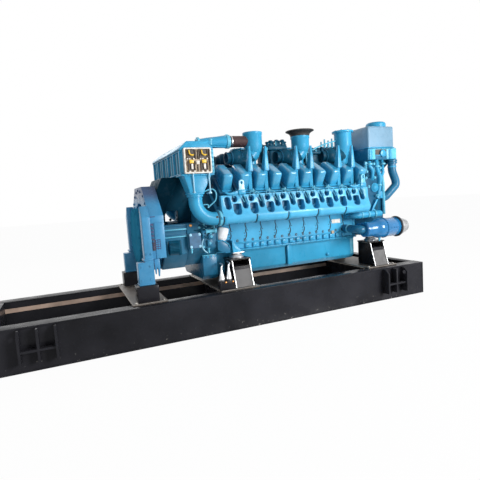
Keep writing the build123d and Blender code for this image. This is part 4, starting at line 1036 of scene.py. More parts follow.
class ENGINE_OT_air_cooler(bpy.types.Operator):
    """Models the air cooler over the drive end with its hoppers, elbows and bracket"""
    bl_idname = "engine_set.air_cooler"
    bl_label = "Air Cooler"

    def execute(self, context):
        sizes = context.scene.engine_sizes
        # The bracket in the darkest blue: a painted shade
        softened("cooler_bracket", "dark", sizes.casting_edge, extra=self.bracket_trim())
        softened("cooler_casing", "blue", 0.005, extra=self.casing_trim(sizes))
        softened("cooler_lid", "blue", 0.008, extra=self.lid_trim(sizes))
        softened("cooler_hoppers", "blue", 0.014, steps=3,
            extra=both_banks(self.hopper_trim(sizes)))
        dress("air_elbows_finished", both_banks(self.elbow()), ["air_elbows"])
        return {"FINISHED"}

    def bracket_trim(self):
        """Bolts on the bracket's feet and two stiffening ribs on each side."""
        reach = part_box("cooler_bracket")[1].y
        ribs = [slab([(x, side * reach - 0.006, z) for x, z in outline], (0, 0.012, 0), 0.003)
            for side in (-1, 1) for outline in (((-0.93, 1.50), (-0.90, 1.50), (-0.66, 1.98),
            (-0.70, 1.98)), ((-0.56, 1.50), (-0.53, 1.50), (-0.40, 2.00), (-0.44, 2.00)))]
        spots = [(x, -0.330, z) for x, z in ((-0.945, 1.46), (-0.945, 1.60), (-0.945, 1.74),
            (-0.54, 1.46), (-0.65, 1.46), (-0.60, 1.72), (-0.48, 1.84))]
        bolts = hexes(spots, NEARER, 0.014)
        far = hexes([(x, -y, z) for x, y, z in spots], FARTHER, 0.014)
        return painted(ribs + bolts + far, "dark")

    def casing_trim(self, sizes):
        """Navy panels as painted shade between the ribs, pale strips between the panels as painted highlight,
        and the casing's two flanges.
        """
        low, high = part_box("cooler_casing")
        west, east = low.x + 0.026, high.x - 0.026
        dark, pale = [], []
        pitch = 2 * (0.80 - 0.034) / 5
        for side, face in ((-1, west), (1, east)):
            near, far = sorted((face - side * 0.002, face + side * 0.004))
            for i in range(5):
                middle = -0.766 + (i + 0.5) * pitch
                for shift in (-0.072, 0.072):
                    dark.append(brick((near, middle + shift - 0.050, low.z + 0.024),
                        (far, middle + shift + 0.050, high.z - 0.020), 0.0015, 1))
                a, b = sorted((face, face + side * 0.016))
                pale.append(brick((a, middle - 0.011, low.z + 0.006),
                    (b, middle + 0.011, high.z - 0.004), 0.003))
        flanges = [brick((low.x + 0.002, -0.806, low.z), (high.x - 0.002, 0.806, low.z + 0.012), 0.003),
            brick((low.x + 0.002, -0.806, high.z - 0.014), (high.x - 0.002, 0.806, high.z - 0.001),
            0.003)]
        end = [brick((high.x - 0.036, -0.826, low.z + 0.004), (high.x - 0.002, -0.796, high.z - 0.002),
            0.005)]
        spots = [(high.x - 0.018, -0.826, low.z + 0.03 + i * 0.055) for i in range(5)]
        return (painted(dark, "navy") + painted(pale + end, "light")
            + painted(flanges + hexes(spots, NEARER, sizes.bolt_size * 0.6), "blue"))

    def lid_trim(self, sizes):
        """Screws round the lid's rim, two lifting pads and a small upright fitting."""
        low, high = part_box("cooler_lid")
        rim_z = low.z + 0.012
        spots = [(low.x + 0.002, -0.74 + i * 0.148, rim_z) for i in range(11)]
        bolts = hexes(spots, LEFT, sizes.bolt_size * 0.55)
        pads = [brick((-0.60, y - 0.045, high.z - 0.004), (-0.46, y + 0.045, high.z + 0.012), 0.004)
            for y in (-0.56, 0.56)]
        seam = brick((low.x - 0.0015, low.y + 0.018, low.z - 0.003),
            (high.x + 0.0015, high.y - 0.018, low.z + 0.003))
        fitting = turned(mm(0, 0, 0, 40, 30, 38, 46, 26, 80, 24, 84, 30, 108, 30, 116, 18, 116, 0),
            (-0.385, -0.30, low.z + 0.04))
        return (painted(bolts + pads, "blue") + painted([fitting], "light") + painted([seam], "dark"))

    def hopper_trim(self, sizes):
        """The hopper's flanges and screws, with two pale tie rods and the bent stay beside the elbow."""
        top = brick((-0.742, -0.818, 2.020), (-0.318, -0.540, 2.040), 0.004)
        foot = slab([(-0.57 + x, -0.74 + y, 1.788) for x, y in rim(0.216, 0.196, 0.05, 0.05)],
            (0, 0, 0.020), 0.004)
        spots = [(x, -0.818, 2.030) for x in (-0.72, -0.65, -0.50, -0.43, -0.34)]
        bolts = hexes(spots, NEARER, sizes.bolt_size * 0.6)
        seam = [slab([(-0.665, -0.832, 1.83), (-0.655, -0.838, 1.83), (-0.700, -0.812, 2.03),
            (-0.712, -0.806, 2.03)], (0, 0.012, 0), 0.003)]
        rods = []
        for x, bottom in ((-0.600, 1.800), (-0.395, 1.795)):
            rods += [rod((x, -0.830, bottom), (x, -0.828, 2.058), 0.009, 0.002, 12, 1)]
            rods += hexes([(x, -0.830, bottom + 0.01), (x, -0.828, 2.036)], UP, 0.015, 0.018)
        lug = [brick((-0.415, -0.842, 1.79), (-0.375, -0.70, 1.806), 0.004)]
        stay = [tube([(-0.45, -0.70, 1.812), (-0.36, -0.71, 1.850), (-0.300, -0.715, 1.845),
            (-0.275, -0.72, 1.78), (-0.290, -0.72, 1.70), (-0.405, -0.715, 1.615)], 0.0095, 0.04,
            fineness=2), tube([(-0.455, -0.70, 1.655), (-0.400, -0.71, 1.655), (-0.392, -0.715, 1.612)],
            0.010, 0.02)]
        return (painted([top, foot, *bolts, *seam], "blue") + painted(rods + lug, "pale")
            + painted(stay, "light"))

    def elbow(self):
        """One wide bend from the hopper to the charge air pipe, with a collar at each end."""
        x, y = -0.57, PIPE_Y
        bend = tube([(x, y, 1.79), *arc((x + 0.235, y, PIPE_Z + 0.235), 0.235, 180, 270, 14),
            (-0.24, y, PIPE_Z)], 0.087, fineness=10)
        collar = turned(mm(0, 70, 0, 94, 4, 103, 28, 103, 34, 96, 34, 70), (x, y, 1.756))
        lip = turned(mm(0, 70, 0, 92, 12, 92, 16, 87, 16, 70), (x, y, 1.725))
        seal = ring((-0.300, y, PIPE_Z), RIGHT, 0.087, 0.0045, 40, 6)
        end = turned(mm(0, 70, 0, 92, 6, 101, 34, 101, 40, 94, 40, 70), (-0.288, y, PIPE_Z), RIGHT)
        ear = brick((-0.282, y - 0.112, PIPE_Z - 0.018), (-0.254, y - 0.080, PIPE_Z + 0.018), 0.004)
        screw = hexes([(-0.325, y - 0.084, PIPE_Z + 0.02)], NEARER, 0.011)
        return (painted([bend, collar, lip, ear], "blue") + painted([end], "light")
            + painted([seal, *screw], "rubber"))


class ENGINE_OT_electrics(bpy.types.Operator):
    """Models the open electrics panel on the cooler's near end"""
    bl_idname = "engine_set.electrics"
    bl_label = "Electrics Panel"

    def execute(self, context):
        low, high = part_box("electrics_panel")
        middle = ((low.x + high.x) / 2, low.y, (low.z + high.z) / 2)
        wide, tall = high.x - low.x, high.z - low.z
        case = opening((middle[0], low.y + 0.002, middle[2]), wide, tall, 0.016, 0.016, 0.050)
        hollow = opening((middle[0], low.y - 0.01, middle[2]), wide - 0.034, tall - 0.034, 0.008, 0.008,
            0.044)
        cut(case, [hollow])
        rounded(case, 0.003, 1)
        back = brick((low.x + 0.012, low.y + 0.032, low.z + 0.012),
            (high.x - 0.012, low.y + 0.044, high.z - 0.012))
        cells, yellow, white, slots = [], [], [], []
        for u in (0.27, 0.73):
            x = low.x + wide * u
            cells.append(self.cell(x, low.y, low.z + tall * 0.77, 0.105, 0.115))
            cells.append(self.cell(x, low.y, low.z + tall * 0.30, 0.090, 0.120))
            z = low.z + tall * 0.80
            yellow.append(tube([(x - 0.026, low.y + 0.014, z + 0.036),
                (x - 0.022, low.y + 0.006, z - 0.010), (x + 0.012, low.y + 0.004, z - 0.036),
                (x + 0.030, low.y + 0.010, z - 0.022)], 0.0085, 0.022, fineness=2))
            yellow.append(brick((x - 0.028, low.y + 0.004, low.z + tall * 0.40),
                (x + 0.026, low.y + 0.026, low.z + tall * 0.53), 0.004))
            white.append(brick((x - 0.010, low.y + 0.006, low.z + tall * 0.17),
                (x + 0.014, low.y + 0.020, low.z + tall * 0.38), 0.003))
            white += hexes([(x + dx, low.y + 0.006, low.z + tall * 0.08) for dx in (-0.03, 0.03)],
                NEARER, 0.008)
        for u, v0, v1 in ((0.06, 0.30, 0.62), (0.44, 0.56, 0.92), (0.53, 0.56, 0.92),
                (0.94, 0.30, 0.92), (0.50, 0.08, 0.34)):
            x = low.x + wide * u
            slots.append(brick((x - 0.007, low.y + 0.018, low.z + tall * v0),
                (x + 0.007, low.y + 0.034, low.z + tall * v1), 0.003))
        white.append(brick((middle[0] - 0.022, low.y + 0.008, low.z + tall * 0.36),
            (middle[0] + 0.020, low.y + 0.028, low.z + tall * 0.50), 0.004))
        terminals = [brick((low.x + wide * u, low.y + 0.010, low.z + tall * 0.55),
            (low.x + wide * u + 0.018, low.y + 0.030, low.z + tall * 0.60), 0.002, 1)
            for u in (0.10, 0.18, 0.33, 0.58, 0.66, 0.82)]
        parts = (painted([case], "ivory") + painted([back], "beige") + painted(cells + slots, "cell")
            + painted(yellow, "yellow") + painted(white + terminals, "ivory"))
        dress("electrics_panel_finished", parts, ["electrics_panel"])
        return {"FINISHED"}

    def cell(self, x, face, z, wide, tall):
        """A dark pocket with a raised rim."""
        outer = opening((x, face + 0.014, z), wide, tall, 0.012, 0.012, 0.020)
        inner = opening((x, face + 0.008, z), wide - 0.014, tall - 0.014, 0.008, 0.008, 0.018)
        cut(outer, [inner])
        return rounded(outer, 0.0015, 1)


class ENGINE_OT_drive_end(bpy.types.Operator):
    """Models the ring housing, coupling, guard, flywheel housing and support posts"""
    bl_idname = "engine_set.drive_end"
    bl_label = "Drive End"

    def execute(self, context):
        sizes = context.scene.engine_sizes
        softened("ring_housing", "ring_blue", 0.007, extra=self.ring_trim())
        softened("drive_coupling", "disc", 0.008, extra=self.coupling_trim())
        dress("ring_grilles_finished", both_banks(self.grille()), ["ring_grilles"])
        softened("coupling_guard", "navy", 0.004, extra=both_banks(self.guard_trim()))
        softened("flywheel_housing", "navy", 0.012,
            extra=both_banks(self.housing_trim(sizes)))
        softened("support_posts", "ring_blue", 0.006,
            extra=both_banks(self.post_trim(sizes)))
        dress("junction_boxes_finished", both_banks(self.junction()), ["junction_boxes"])
        dress("starter_motors_finished", both_banks(self.starter()), ["starter_motors"])
        dress("fuel_filter_finished", self.filter(), ["fuel_filter"])
        return {"FINISHED"}

    def ring_trim(self):
        """Raised bands, the dark inspection slot and bolts round the octagonal housing."""
        parts, dark = [], []
        for side in (-1, 1):
            y0, y1 = sorted((side * 0.648, side * 0.660))
            parts.append(brick((-1.098, y0, 1.032), (-0.972, y1, 1.475), 0.005))
            y0, y1 = sorted((side * 0.648, side * 0.654))
            dark.append(brick((-1.143, y0, 1.225), (-1.106, y1, 1.470), 0.002, 1))
            dark.append(brick((-1.140, y0, 1.546), (-1.075, y1, 1.556), 0.002, 1))
        spots = around((-1.145, 0, CRANK_Z), 0.610, [math.radians(a) for a in range(-15, 200, 15)], "X")
        bolts = hexes(spots, LEFT, 0.015)
        pads = [brick((-1.140, side * 0.655 - 0.007, 1.238 + i * 0.046),
            (-1.110, side * 0.655 + 0.007, 1.262 + i * 0.046), 0.003) for i in range(5)
            for side in (-1, 1)]
        hanger = [slab([(x, -0.615, z) for x, z in ((-1.125, 1.035), (-1.055, 1.035), (-1.052, 0.90),
            (-1.066, 0.80), (-1.078, 0.80), (-1.082, 0.90), (-1.094, 0.915), (-1.104, 0.83),
            (-1.114, 0.83), (-1.120, 0.90))], (0, 0.030, 0), 0.004)]
        return (painted(parts + bolts + hanger, "ring_blue") + painted(dark, "grille")
            + painted(pads, "navy"))

    def coupling_trim(self):
        """Bolts and a raised hub on the coupling disc."""
        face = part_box("drive_coupling")[0].x
        spots = around((face, 0, CRANK_Z), 0.345, evenly(12), "X")
        hub = turned(mm(0, 0, 0, 130, 10, 125, 14, 90, 14, 0), (face + 0.010, 0, CRANK_Z), LEFT)
        return painted(hexes(spots, LEFT, 0.013) + [hub], "disc")

    def grille(self):
        """A dark plate crossed by purple-navy bars."""
        low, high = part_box("ring_grilles")
        near = low.y
        plate = brick((low.x, near + 0.004, low.z), (high.x, near + 0.012, high.z), 0.002, 1)
        bars = [brick((low.x + 0.006, near, low.z + 0.016 + i * 0.027),
            (high.x - 0.006, near + 0.006, low.z + 0.026 + i * 0.027), 0.002, 1) for i in range(5)]
        bars += [brick((low.x + 0.008 + i * 0.029, near - 0.001, low.z + 0.006),
            (low.x + 0.014 + i * 0.029, near + 0.006, high.z - 0.006), 0.002, 1) for i in range(4)]
        return painted([plate], "cell") + painted(bars, "grille")

    def guard_trim(self):
        """Two light rails along the guard, and the drum below them with dark strips painted as the shade of
        its slots.
        """
        rails = [rod((-0.962, -0.556, z), (-0.664, -0.556, z), 0.0085, 0.002, 12, 1)
            for z in (1.362, 1.268)]
        drum = turned(mm(0, 50, 0, 96, 10, 102, 120, 102, 130, 96, 130, 50), (-0.910, -0.500, 1.130),
            RIGHT, 32)
        # Dark strips where the slots are: a painted shade
        slots = [brick((-0.905, -0.6035, 1.070 + i * 0.019), (-0.786, -0.594, 1.078 + i * 0.019), 0.002,
            1) for i in range(7)]
        caps = [brick((-0.945, -0.560, 1.03), (-0.915, -0.530, 1.22), 0.004),
            brick((-0.775, -0.560, 1.03), (-0.745, -0.530, 1.22), 0.004)]
        return (painted(rails, "light") + painted([drum, *caps], "deep") + painted(slots, "dark"))

    def housing_trim(self, sizes):
        """Flange, bolts, pipe stub, hose loop and small fittings on the flywheel housing."""
        flange = [brick((-0.262, -0.568, 1.08), (-0.243, -0.40, 1.545), 0.004)]
        spots = [(-0.262, -0.545, 1.12 + i * 0.08) for i in range(6)]
        bolts = hexes(spots, LEFT, sizes.bolt_size * 0.8)
        ribs = [brick((-0.50 + i * 0.11, -0.572, 1.40), (-0.485 + i * 0.11, -0.55, 1.56), 0.004)
            for i in range(2)]
        stub = [turned(mm(0, 0, 0, 30, 20, 30, 24, 24, 120, 24, 124, 31, 150, 31, 150, 0),
            (-0.418, -0.592, 1.305), RIGHT, 28)]
        elbow = [tube([(-0.405, -0.592, 1.305), (-0.455, -0.592, 1.305), (-0.455, -0.592, 1.235),
            (-0.455, -0.54, 1.20)], 0.022, 0.03, fineness=3)]
        loop = [tube([(-0.430, -0.570, 1.235), (-0.470, -0.585, 1.180), (-0.482, -0.588, 1.110),
            (-0.450, -0.585, 1.050), (-0.395, -0.565, 1.015)], 0.0085, 0.05, fineness=2)]
        block = [brick((-0.40, -0.590, 1.10), (-0.33, -0.555, 1.19), 0.005),
            brick((-0.38, -0.585, 1.20), (-0.30, -0.556, 1.262), 0.005)]
        runs = [tube([(-0.50, -0.565, 1.39), (-0.44, -0.590, 1.37), (-0.40, -0.592, 1.34),
            (-0.33, -0.585, 1.37), (-0.26, -0.570, 1.38)], 0.011, 0.02),
            tube([(-0.46, -0.570, 1.34), (-0.48, -0.592, 1.30), (-0.46, -0.596, 1.25),
            (-0.40, -0.590, 1.225)], 0.016, 0.02), tube([(-0.56, -0.565, 1.33), (-0.50, -0.585, 1.325),
            (-0.47, -0.590, 1.345)], 0.009, 0.015)]
        valves = [turned(mm(0, 0, 0, 15, 20, 15, 24, 10, 50, 10, 52, 18, 64, 18, 64, 0), place, UP, 12)
            for place in ((-0.43, -0.580, 1.345), (-0.35, -0.582, 1.262), (-0.29, -0.575, 1.315),
            (-0.385, -0.578, 1.02))]
        small = hexes([(-0.365, -0.590, 1.145), (-0.340, -0.585, 1.232), (-0.49, -0.560, 1.36),
            (-0.40, -0.560, 1.36), (-0.31, -0.560, 1.36), (-0.45, -0.560, 1.10)], NEARER,
            sizes.bolt_size)
        gusset = [slab([(x, -0.590, z) for x, z in ((-0.262, 1.160), (-0.190, 1.172), (-0.105, 1.112),
            (-0.085, 1.060), (-0.085, 0.985), (-0.150, 0.985), (-0.262, 1.040))], (0, 0.014, 0), 0.004)]
        fold = [slab([(x, -0.604, z) for x, z in ((-0.262, 1.160), (-0.190, 1.172), (-0.105, 1.112),
            (-0.085, 1.060), (-0.094, 1.056), (-0.114, 1.104), (-0.192, 1.160), (-0.262, 1.148))],
            (0, 0.030, 0), 0.003)]
        tap = [turned(mm(0, 0, 0, 18, 16, 18, 18, 11, 34, 11, 34, 0), (-0.609, -0.560, 1.400), NEARER,
            16)]
        return (painted(flange + bolts + ribs + elbow + block + gusset, "mid") + painted(fold, "blue")
            + painted(stub + small + valves, "light") + painted(loop, "pale") + painted(runs, "deep")
            + painted(tap, "brass"))

    def post_trim(self, sizes):
        """Clamp plates and bolts on the support posts."""
        plate = [brick((-1.262, -0.694, 1.02), (-1.148, -0.540, 1.046), 0.005),
            brick((-1.340, -0.692, 0.722), (-1.150, -0.538, 0.742), 0.005)]
        spots = [(x, -0.685, z) for x, z in ((-1.22, 1.10), (-1.17, 1.10), (-1.30, 0.79), (-1.19, 0.79),
            (-1.30, 0.95), (-1.19, 0.95))]
        return painted(plate + hexes(spots, NEARER, sizes.bolt_size), "ring_blue")

    def junction(self):
        """A grey-purple plate box with four bright bolts and its stem."""
        low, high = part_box("junction_boxes")
        box = brick((low.x + 0.006, low.y + 0.012, low.z + 0.006),
            (high.x - 0.006, low.y + 0.055, high.z - 0.006), 0.006)
        lid = opening(((low.x + high.x) / 2, low.y + 0.002, (low.z + high.z) / 2), 0.158, 0.196, 0.018,
            0.018, 0.012)
        rounded(lid, 0.002, 1, 50)
        spots = [(x, low.y + 0.003, z) for x in (low.x + 0.020, high.x - 0.020)
            for z in (low.z + 0.022, high.z - 0.022)]
        stem = rod((-0.622, low.y + 0.028, low.z - 0.062), (-0.622, low.y + 0.028, low.z + 0.010),
            0.011, 0.002, 14, 1)
        gland = hexes([(-0.622, low.y + 0.028, low.z - 0.016)], UP, 0.017, 0.02)
        return (painted([box], "navy") + painted([lid], "violet")
            + painted(hexes(spots, NEARER, 0.0125), "pale") + painted([stem, *gland], "light"))

    def starter(self):
        low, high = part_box("starter_motors")
        y, z = low.y + 0.068, (low.z + high.z) / 2
        body = turned(mm(0, 0, 0, 52, 6, 60, 24, 60, 28, 67, 100, 67, 106, 58, 132, 50, 138, 34, 139,
            0), (low.x, y, z), RIGHT)
        relay = turned(mm(0, 0, 0, 20, 90, 20, 94, 14, 94, 0), (low.x + 0.015, y + 0.02, z + 0.050),
            RIGHT, 20)
        return painted([body, relay], "mid")

    def filter(self):
        """The wrapped filter with its folds, head and mounting arm."""
        low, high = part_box("fuel_filter")
        x, y = (low.x + high.x) / 2, low.y + 0.070
        foot, lean = Vector((x - 0.030, y - 0.004, low.z + 0.008)), Vector((0.26, 0, 0.95)).normalized()
        tall = 0.178
        body = turned([(0, 0), (0, 0.044), (0.014, 0.060), (0.040, 0.068), (0.090, 0.073),
            (0.130, 0.076), (tall - 0.012, 0.072), (tall - 0.002, 0.052), (tall, 0)], foot, lean,
            sides=40)
        across = lean.cross(Vector((0, 1, 0))).normalized()
        folds = []
        for i in range(7):
            path = []
            for step in range(6):
                a = 1.25 * math.pi + i * 0.24 + step * 0.10
                out = across * math.cos(a) + Vector((0, 1, 0)) * math.sin(a)
                path.append(foot + lean * (0.022 + step * 0.026) + out * (0.064 + 0.0022 * step))
            folds.append(tube(path, 0.0065, fineness=1))
        arm = brick((x - 0.037, y + 0.05, high.z - 0.048), (x + 0.037, high.y, high.z), 0.006)
        return painted([body, *folds], "film") + painted([arm], "blue")


class ENGINE_OT_turbochargers(bpy.types.Operator):
    """Models the turbochargers, outlet pots, air pipe and hose over the valley"""
    bl_idname = "engine_set.turbochargers"
    bl_label = "Turbochargers and Pots"

    def execute(self, context):
        softened("turbo_carrier", "navy", 0.010, extra=self.valley_parts())
        self.chargers()
        for node in ("air_pot", "exhaust_pot"):
            dress(node + "_finished", self.open_pot(node), [node])
        softened("capped_pots", "blue", 0.006, extra=self.caps())
        dress("exhaust_flange_finished", self.flange(), ["exhaust_flange"])
        dress("air_pipe_finished", self.air_pipe(), ["air_pipe"])
        dress("air_hose_finished", self.hose(), ["air_hose"])
        softened("carrier_fins", "blue", 0.003, extra=both_banks(self.fin_feet()))
        softened("outlet_duct", "blue", 0.014)
        return {"FINISHED"}

    def chargers(self):
        """A wide casing that runs left from each pot's foot, with its scroll, mouth and clamps."""
        x, y = POT_X[0], POT_Y
        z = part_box("turbo_carrier")[1].z + 0.130
        casing = turned(mm(0, 0, 0, 92, 60, 112, 110, 124, 160, 120, 190, 100, 205, 98, 225, 118, 262,
            128, 300, 124, 335, 104, 360, 84, 395, 80, 400, 88, 414, 88, 416, 70, 380, 55, 380, 0),
            (x - 0.02, y, z), LEFT, 44)
        belly = tube([(x - 0.10, y - 0.02, z - 0.02), (x - 0.16, y - 0.055, z - 0.05),
            (x - 0.24, y - 0.06, z - 0.055), (x - 0.32, y - 0.03, z - 0.03)], 0.068, 0.05, fineness=6,
            corner_steps=5)
        clamps = [ring((x - 0.02 - d, y, z), RIGHT, r, 0.0065, 40, 8)
            for d, r in ((0.197, 0.101), (0.345, 0.098))]
        saddle = brick((x - 0.30, y - 0.05, z - 0.128), (x - 0.12, y + 0.06, z - 0.090), 0.010)
        bolts = around((x - 0.204, y, z), 0.108, (0.4, 1.45, 2.5, 3.54, 4.6, 5.65), "X")
        feed = tube([(x - 0.25, y, z + 0.10), (x - 0.25, y + 0.01, z + 0.128),
            (x - 0.17, y + 0.04, z + 0.125), (x - 0.14, y + 0.09, z + 0.06)], 0.012, 0.02)
        # The casings in the deep blue: their dark paint, partly a painted shade
        one = join(painted([casing, belly, saddle, feed], "deep")
            + painted([*clamps, *hexes(bolts, LEFT, 0.009)], "mid"))
        dress("turbochargers_finished", both_banks(repeated(one, POT_X)),
            ["turbochargers"])

    def open_pot(self, node):
        """An open pot whose foot sweeps round to the left into the turbocharger's casing."""
        low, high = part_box(node)
        x, y = (low.x + high.x) / 2, POT_Y
        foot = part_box("turbo_carrier")[1].z + 0.130
        base = 2.345
        tall = high.z - base
        wall = turned([(0, 0), (0, 0.105), (0.030, 0.120), (0.085, 0.1355), (tall - 0.046, 0.1365),
            (tall - 0.036, 0.1435), (tall - 0.004, 0.1435), (tall, 0.139), (tall - 0.004, 0.1225),
            (tall - 0.140, 0.122), (tall - 0.140, 0)], (x, y, base), sides=48)
        sweep = tube([(x, y, 2.40), *arc((x - 0.12, y, foot + 0.12), 0.12, 0, -90, 10),
            (x - 0.20, y, foot)], 0.106, fineness=8)
        stem = turned(mm(0, 0, 0, 94, 12, 94, 16, 78, 100, 78, 100, 0), (x - 0.05, y, 2.15))
        return painted([wall, sweep, stem], "blue")

    def valley_parts(self):
        """Oil pipes, valve blocks and actuators standing on the carrier between the pots."""
        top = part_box("turbo_carrier")[1].z
        deep, mid, light = [], [], []
        for x in (0.90, 1.60):
            shrink = 1.0 if x < 1.2 else 0.7
            deep.append(brick((x - 0.10, -0.225, top), (x + 0.10, -0.10, top + 0.225 * shrink + 0.03),
                0.010))
            deep.append(brick((x - 0.155, -0.275, top + 0.235 * shrink),
                (x + 0.165, -0.155, top + 0.300 * shrink), 0.012))
            for i, (dx, tall) in enumerate(((-0.140, 0.062), (-0.095, 0.080), (-0.045, 0.070),
                    (0.005, 0.088), (0.055, 0.078), (0.105, 0.090), (0.150, 0.064))):
                base = (x + dx, -0.220 - 0.02 * (i % 2), top + 0.300 * shrink)
                tall *= shrink
                deep.append(turned([(0, 0), (0, 0.030), (tall * 0.30, 0.030), (tall * 0.36, 0.023),
                    (tall * 0.62, 0.023), (tall * 0.66, 0.031), (tall * 0.90, 0.031), (tall, 0.020),
                    (tall, 0)], base, sides=16))
            light.append(rod((x - 0.02, -0.268, top + 0.245 * shrink),
                (x - 0.02, -0.262, top + 0.36 * shrink), 0.008, 0.002, 10, 1))
            light.append(tube([(x - 0.155, -0.25, top + 0.27 * shrink), (x - 0.20, -0.27, top + 0.20),
                (x - 0.20, -0.255, top + 0.06), (x - 0.16, -0.22, top + 0.02)], 0.014, 0.04))
            mid.append(tube([(x + 0.10, -0.21, top + 0.05), (x + 0.21, -0.25, top + 0.10),
                (x + 0.20, -0.26, top + 0.24 * shrink), (x + 0.14, -0.24, top + 0.27 * shrink)], 0.018,
                0.04))
        light.append(tube([(1.45, -0.245, 2.330), (1.56, -0.262, 2.400), (1.75, -0.262, 2.466),
            (1.97, -0.245, 2.515)], 0.011, 0.05))
        for x, tall in ((1.735, 0.10), (1.80, 0.14), (1.87, 0.12), (1.94, 0.15)):
            light.append(turned([(0, 0), (0, 0.020), (tall * 0.5, 0.020), (tall * 0.55, 0.012),
                (tall, 0.012), (tall, 0)], (x, -0.19, top + 0.26), sides=14))
        deep.append(brick((1.69, -0.235, top), (1.99, -0.13, top + 0.265), 0.016))
        pipes = [tube([(-0.20, y, top + 0.035), (0.02, y, top + 0.035), (0.06, y * 0.8, top + 0.035),
            (2.05, y * 0.8, top + 0.035)], 0.024, 0.03) for y in (-0.15, -0.05, 0.09)]
        spots = [(-0.16 + i * 0.24, -0.225, top) for i in range(10)]
        # Thin slabs in the deep blue in the gaps between the covers: a painted shade
        side = [slab([(x, -0.240, 2.02), (x, -0.240, 1.80), (x, -0.30, 1.86), (x, -0.255, 2.02)],
            (0.014, 0, 0), 0.003) for x in GAP_X]
        standing = both_banks(painted(deep, "deep") + painted(mid, "mid"))
        return (standing + painted(pipes + side, "deep") + painted(light + hexes(spots, UP, 0.011),
            "light"))

    def caps(self):
        """Domed lids with bolts over the closed pots, the near one under a wider cover."""
        made = []
        for x in POT_X:
            made.append(turned(mm(-4, 0, -4, 120, 4, 116, 10, 70, 12, 0), (x, -POT_Y, 2.47)))
            made += hexes(around((x, -POT_Y, 2.474), 0.100, (0.3, 1.35, 2.4, 3.45, 4.5, 5.55), "Z"), UP,
                0.010)
        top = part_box("capped_pots")[1].z
        made.append(turned(mm(-30, 130, -30, 166, -6, 168, 2, 160, 6, 100, 8, 0),
            (POT_X[2], POT_Y, top)))
        made += hexes(around((POT_X[2], POT_Y, top + 0.003), 0.138, evenly(8), "Z"), UP, 0.011)
        return painted(made, "blue")

    def flange(self):
        """The thin black flange flares out and turns down a little at its rim."""
        low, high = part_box("exhaust_flange")
        tall = high.z - low.z
        body = turned([(0, 0.123), (0, 0.142), (0.010, 0.145), (0.030, 0.152), (0.048, 0.170),
            (0.062, 0.196), (tall - 0.016, 0.214), (tall - 0.006, 0.215), (tall - 0.001, 0.206),
            (tall - 0.012, 0.172), (0.040, 0.140), (0.020, 0.123), (0, 0.123)],
            (POT_X[1], POT_Y, low.z))
        return painted([body], "soot")

    def air_pipe(self):
        """Tapering pipe that rises from the cooler's lid to a pale band where the hose begins."""
        low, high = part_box("air_pipe")
        y, z = POT_Y, (low.z + high.z) / 2
        slope = Vector((0.40, 0, z - 2.488))
        pipe = turned([(0, 0.05), (0, 0.060), (0.12, 0.072), (0.30, 0.080), (slope.length, 0.088),
            (slope.length, 0.05)], (-0.32, y, 2.488), slope)
        seat = turned(mm(0, 50, 0, 76, 6, 88, 36, 88, 42, 76, 42, 50), (-0.345, y, 2.486), slope)
        block = brick((-0.475, y - 0.062, low.z), (-0.335, y + 0.062, 2.500), 0.022, 3)
        band = turned(mm(0, 50, 0, 86, 5, 95.5, 52, 95.5, 58, 88, 58, 50), (0.081, y, z), RIGHT)
        lugs = [brick((0.088, y - 0.014, z + 0.080), (0.128, y + 0.014, z + 0.102), 0.006)]
        spots = around((0.081, y, z), 0.078, (0.5, 1.55, 2.6, 3.64, 4.7, 5.75), "X")
        stub = turned(mm(0, 0, 0, 22, 56, 20, 60, 28, 84, 28, 90, 16, 90, 0),
            (-0.155, y - 0.055, 2.458))
        stay = brick((-0.25, y - 0.012, 2.34), (-0.22, y + 0.012, 2.45), 0.004)
        bar = tube([(-0.318, -0.45, 2.436), (-0.27, -0.40, 2.436), (0.06, -0.31, 2.428)], 0.0075, 0.02)
        return (painted([pipe, block, stay, bar], "blue") + painted([band, seat, *lugs,
            *hexes(spots, LEFT, 0.009), stub], "light"))

    def hose(self):
        """A ribbed dark hose with a steel clamp near its left end."""
        low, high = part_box("air_hose")
        z, y = (low.z + high.z) / 2, POT_Y
        length = high.x - low.x
        profile = [(i / 29 * length, 0.0765 + (0.004 if i % 2 else 0.0)) for i in range(30)]
        profile = [(0, 0.060), *profile, (length, 0.060)]
        body = turned(profile, (low.x, y, z), RIGHT, 36)
        clamp = turned(mm(0, 60, 0, 83, 14, 83, 14, 60), (low.x + 0.018, y, z), RIGHT, 36)
        return painted([body], "hose") + painted([clamp], "steel")

    def fin_feet(self):
        """A small shoe at two of every three gaps between the covers."""
        first = brick((-0.055, -0.725, 2.052), (0.015, -0.640, 2.066), 0.004)
        places = [x for i, x in enumerate(GAP_X) if i % 3 != 0]
        made = copies(first, [(x, 0, 0) for x in places])
        bpy.data.objects.remove(first, do_unlink=True)
        return painted(made, "blue")


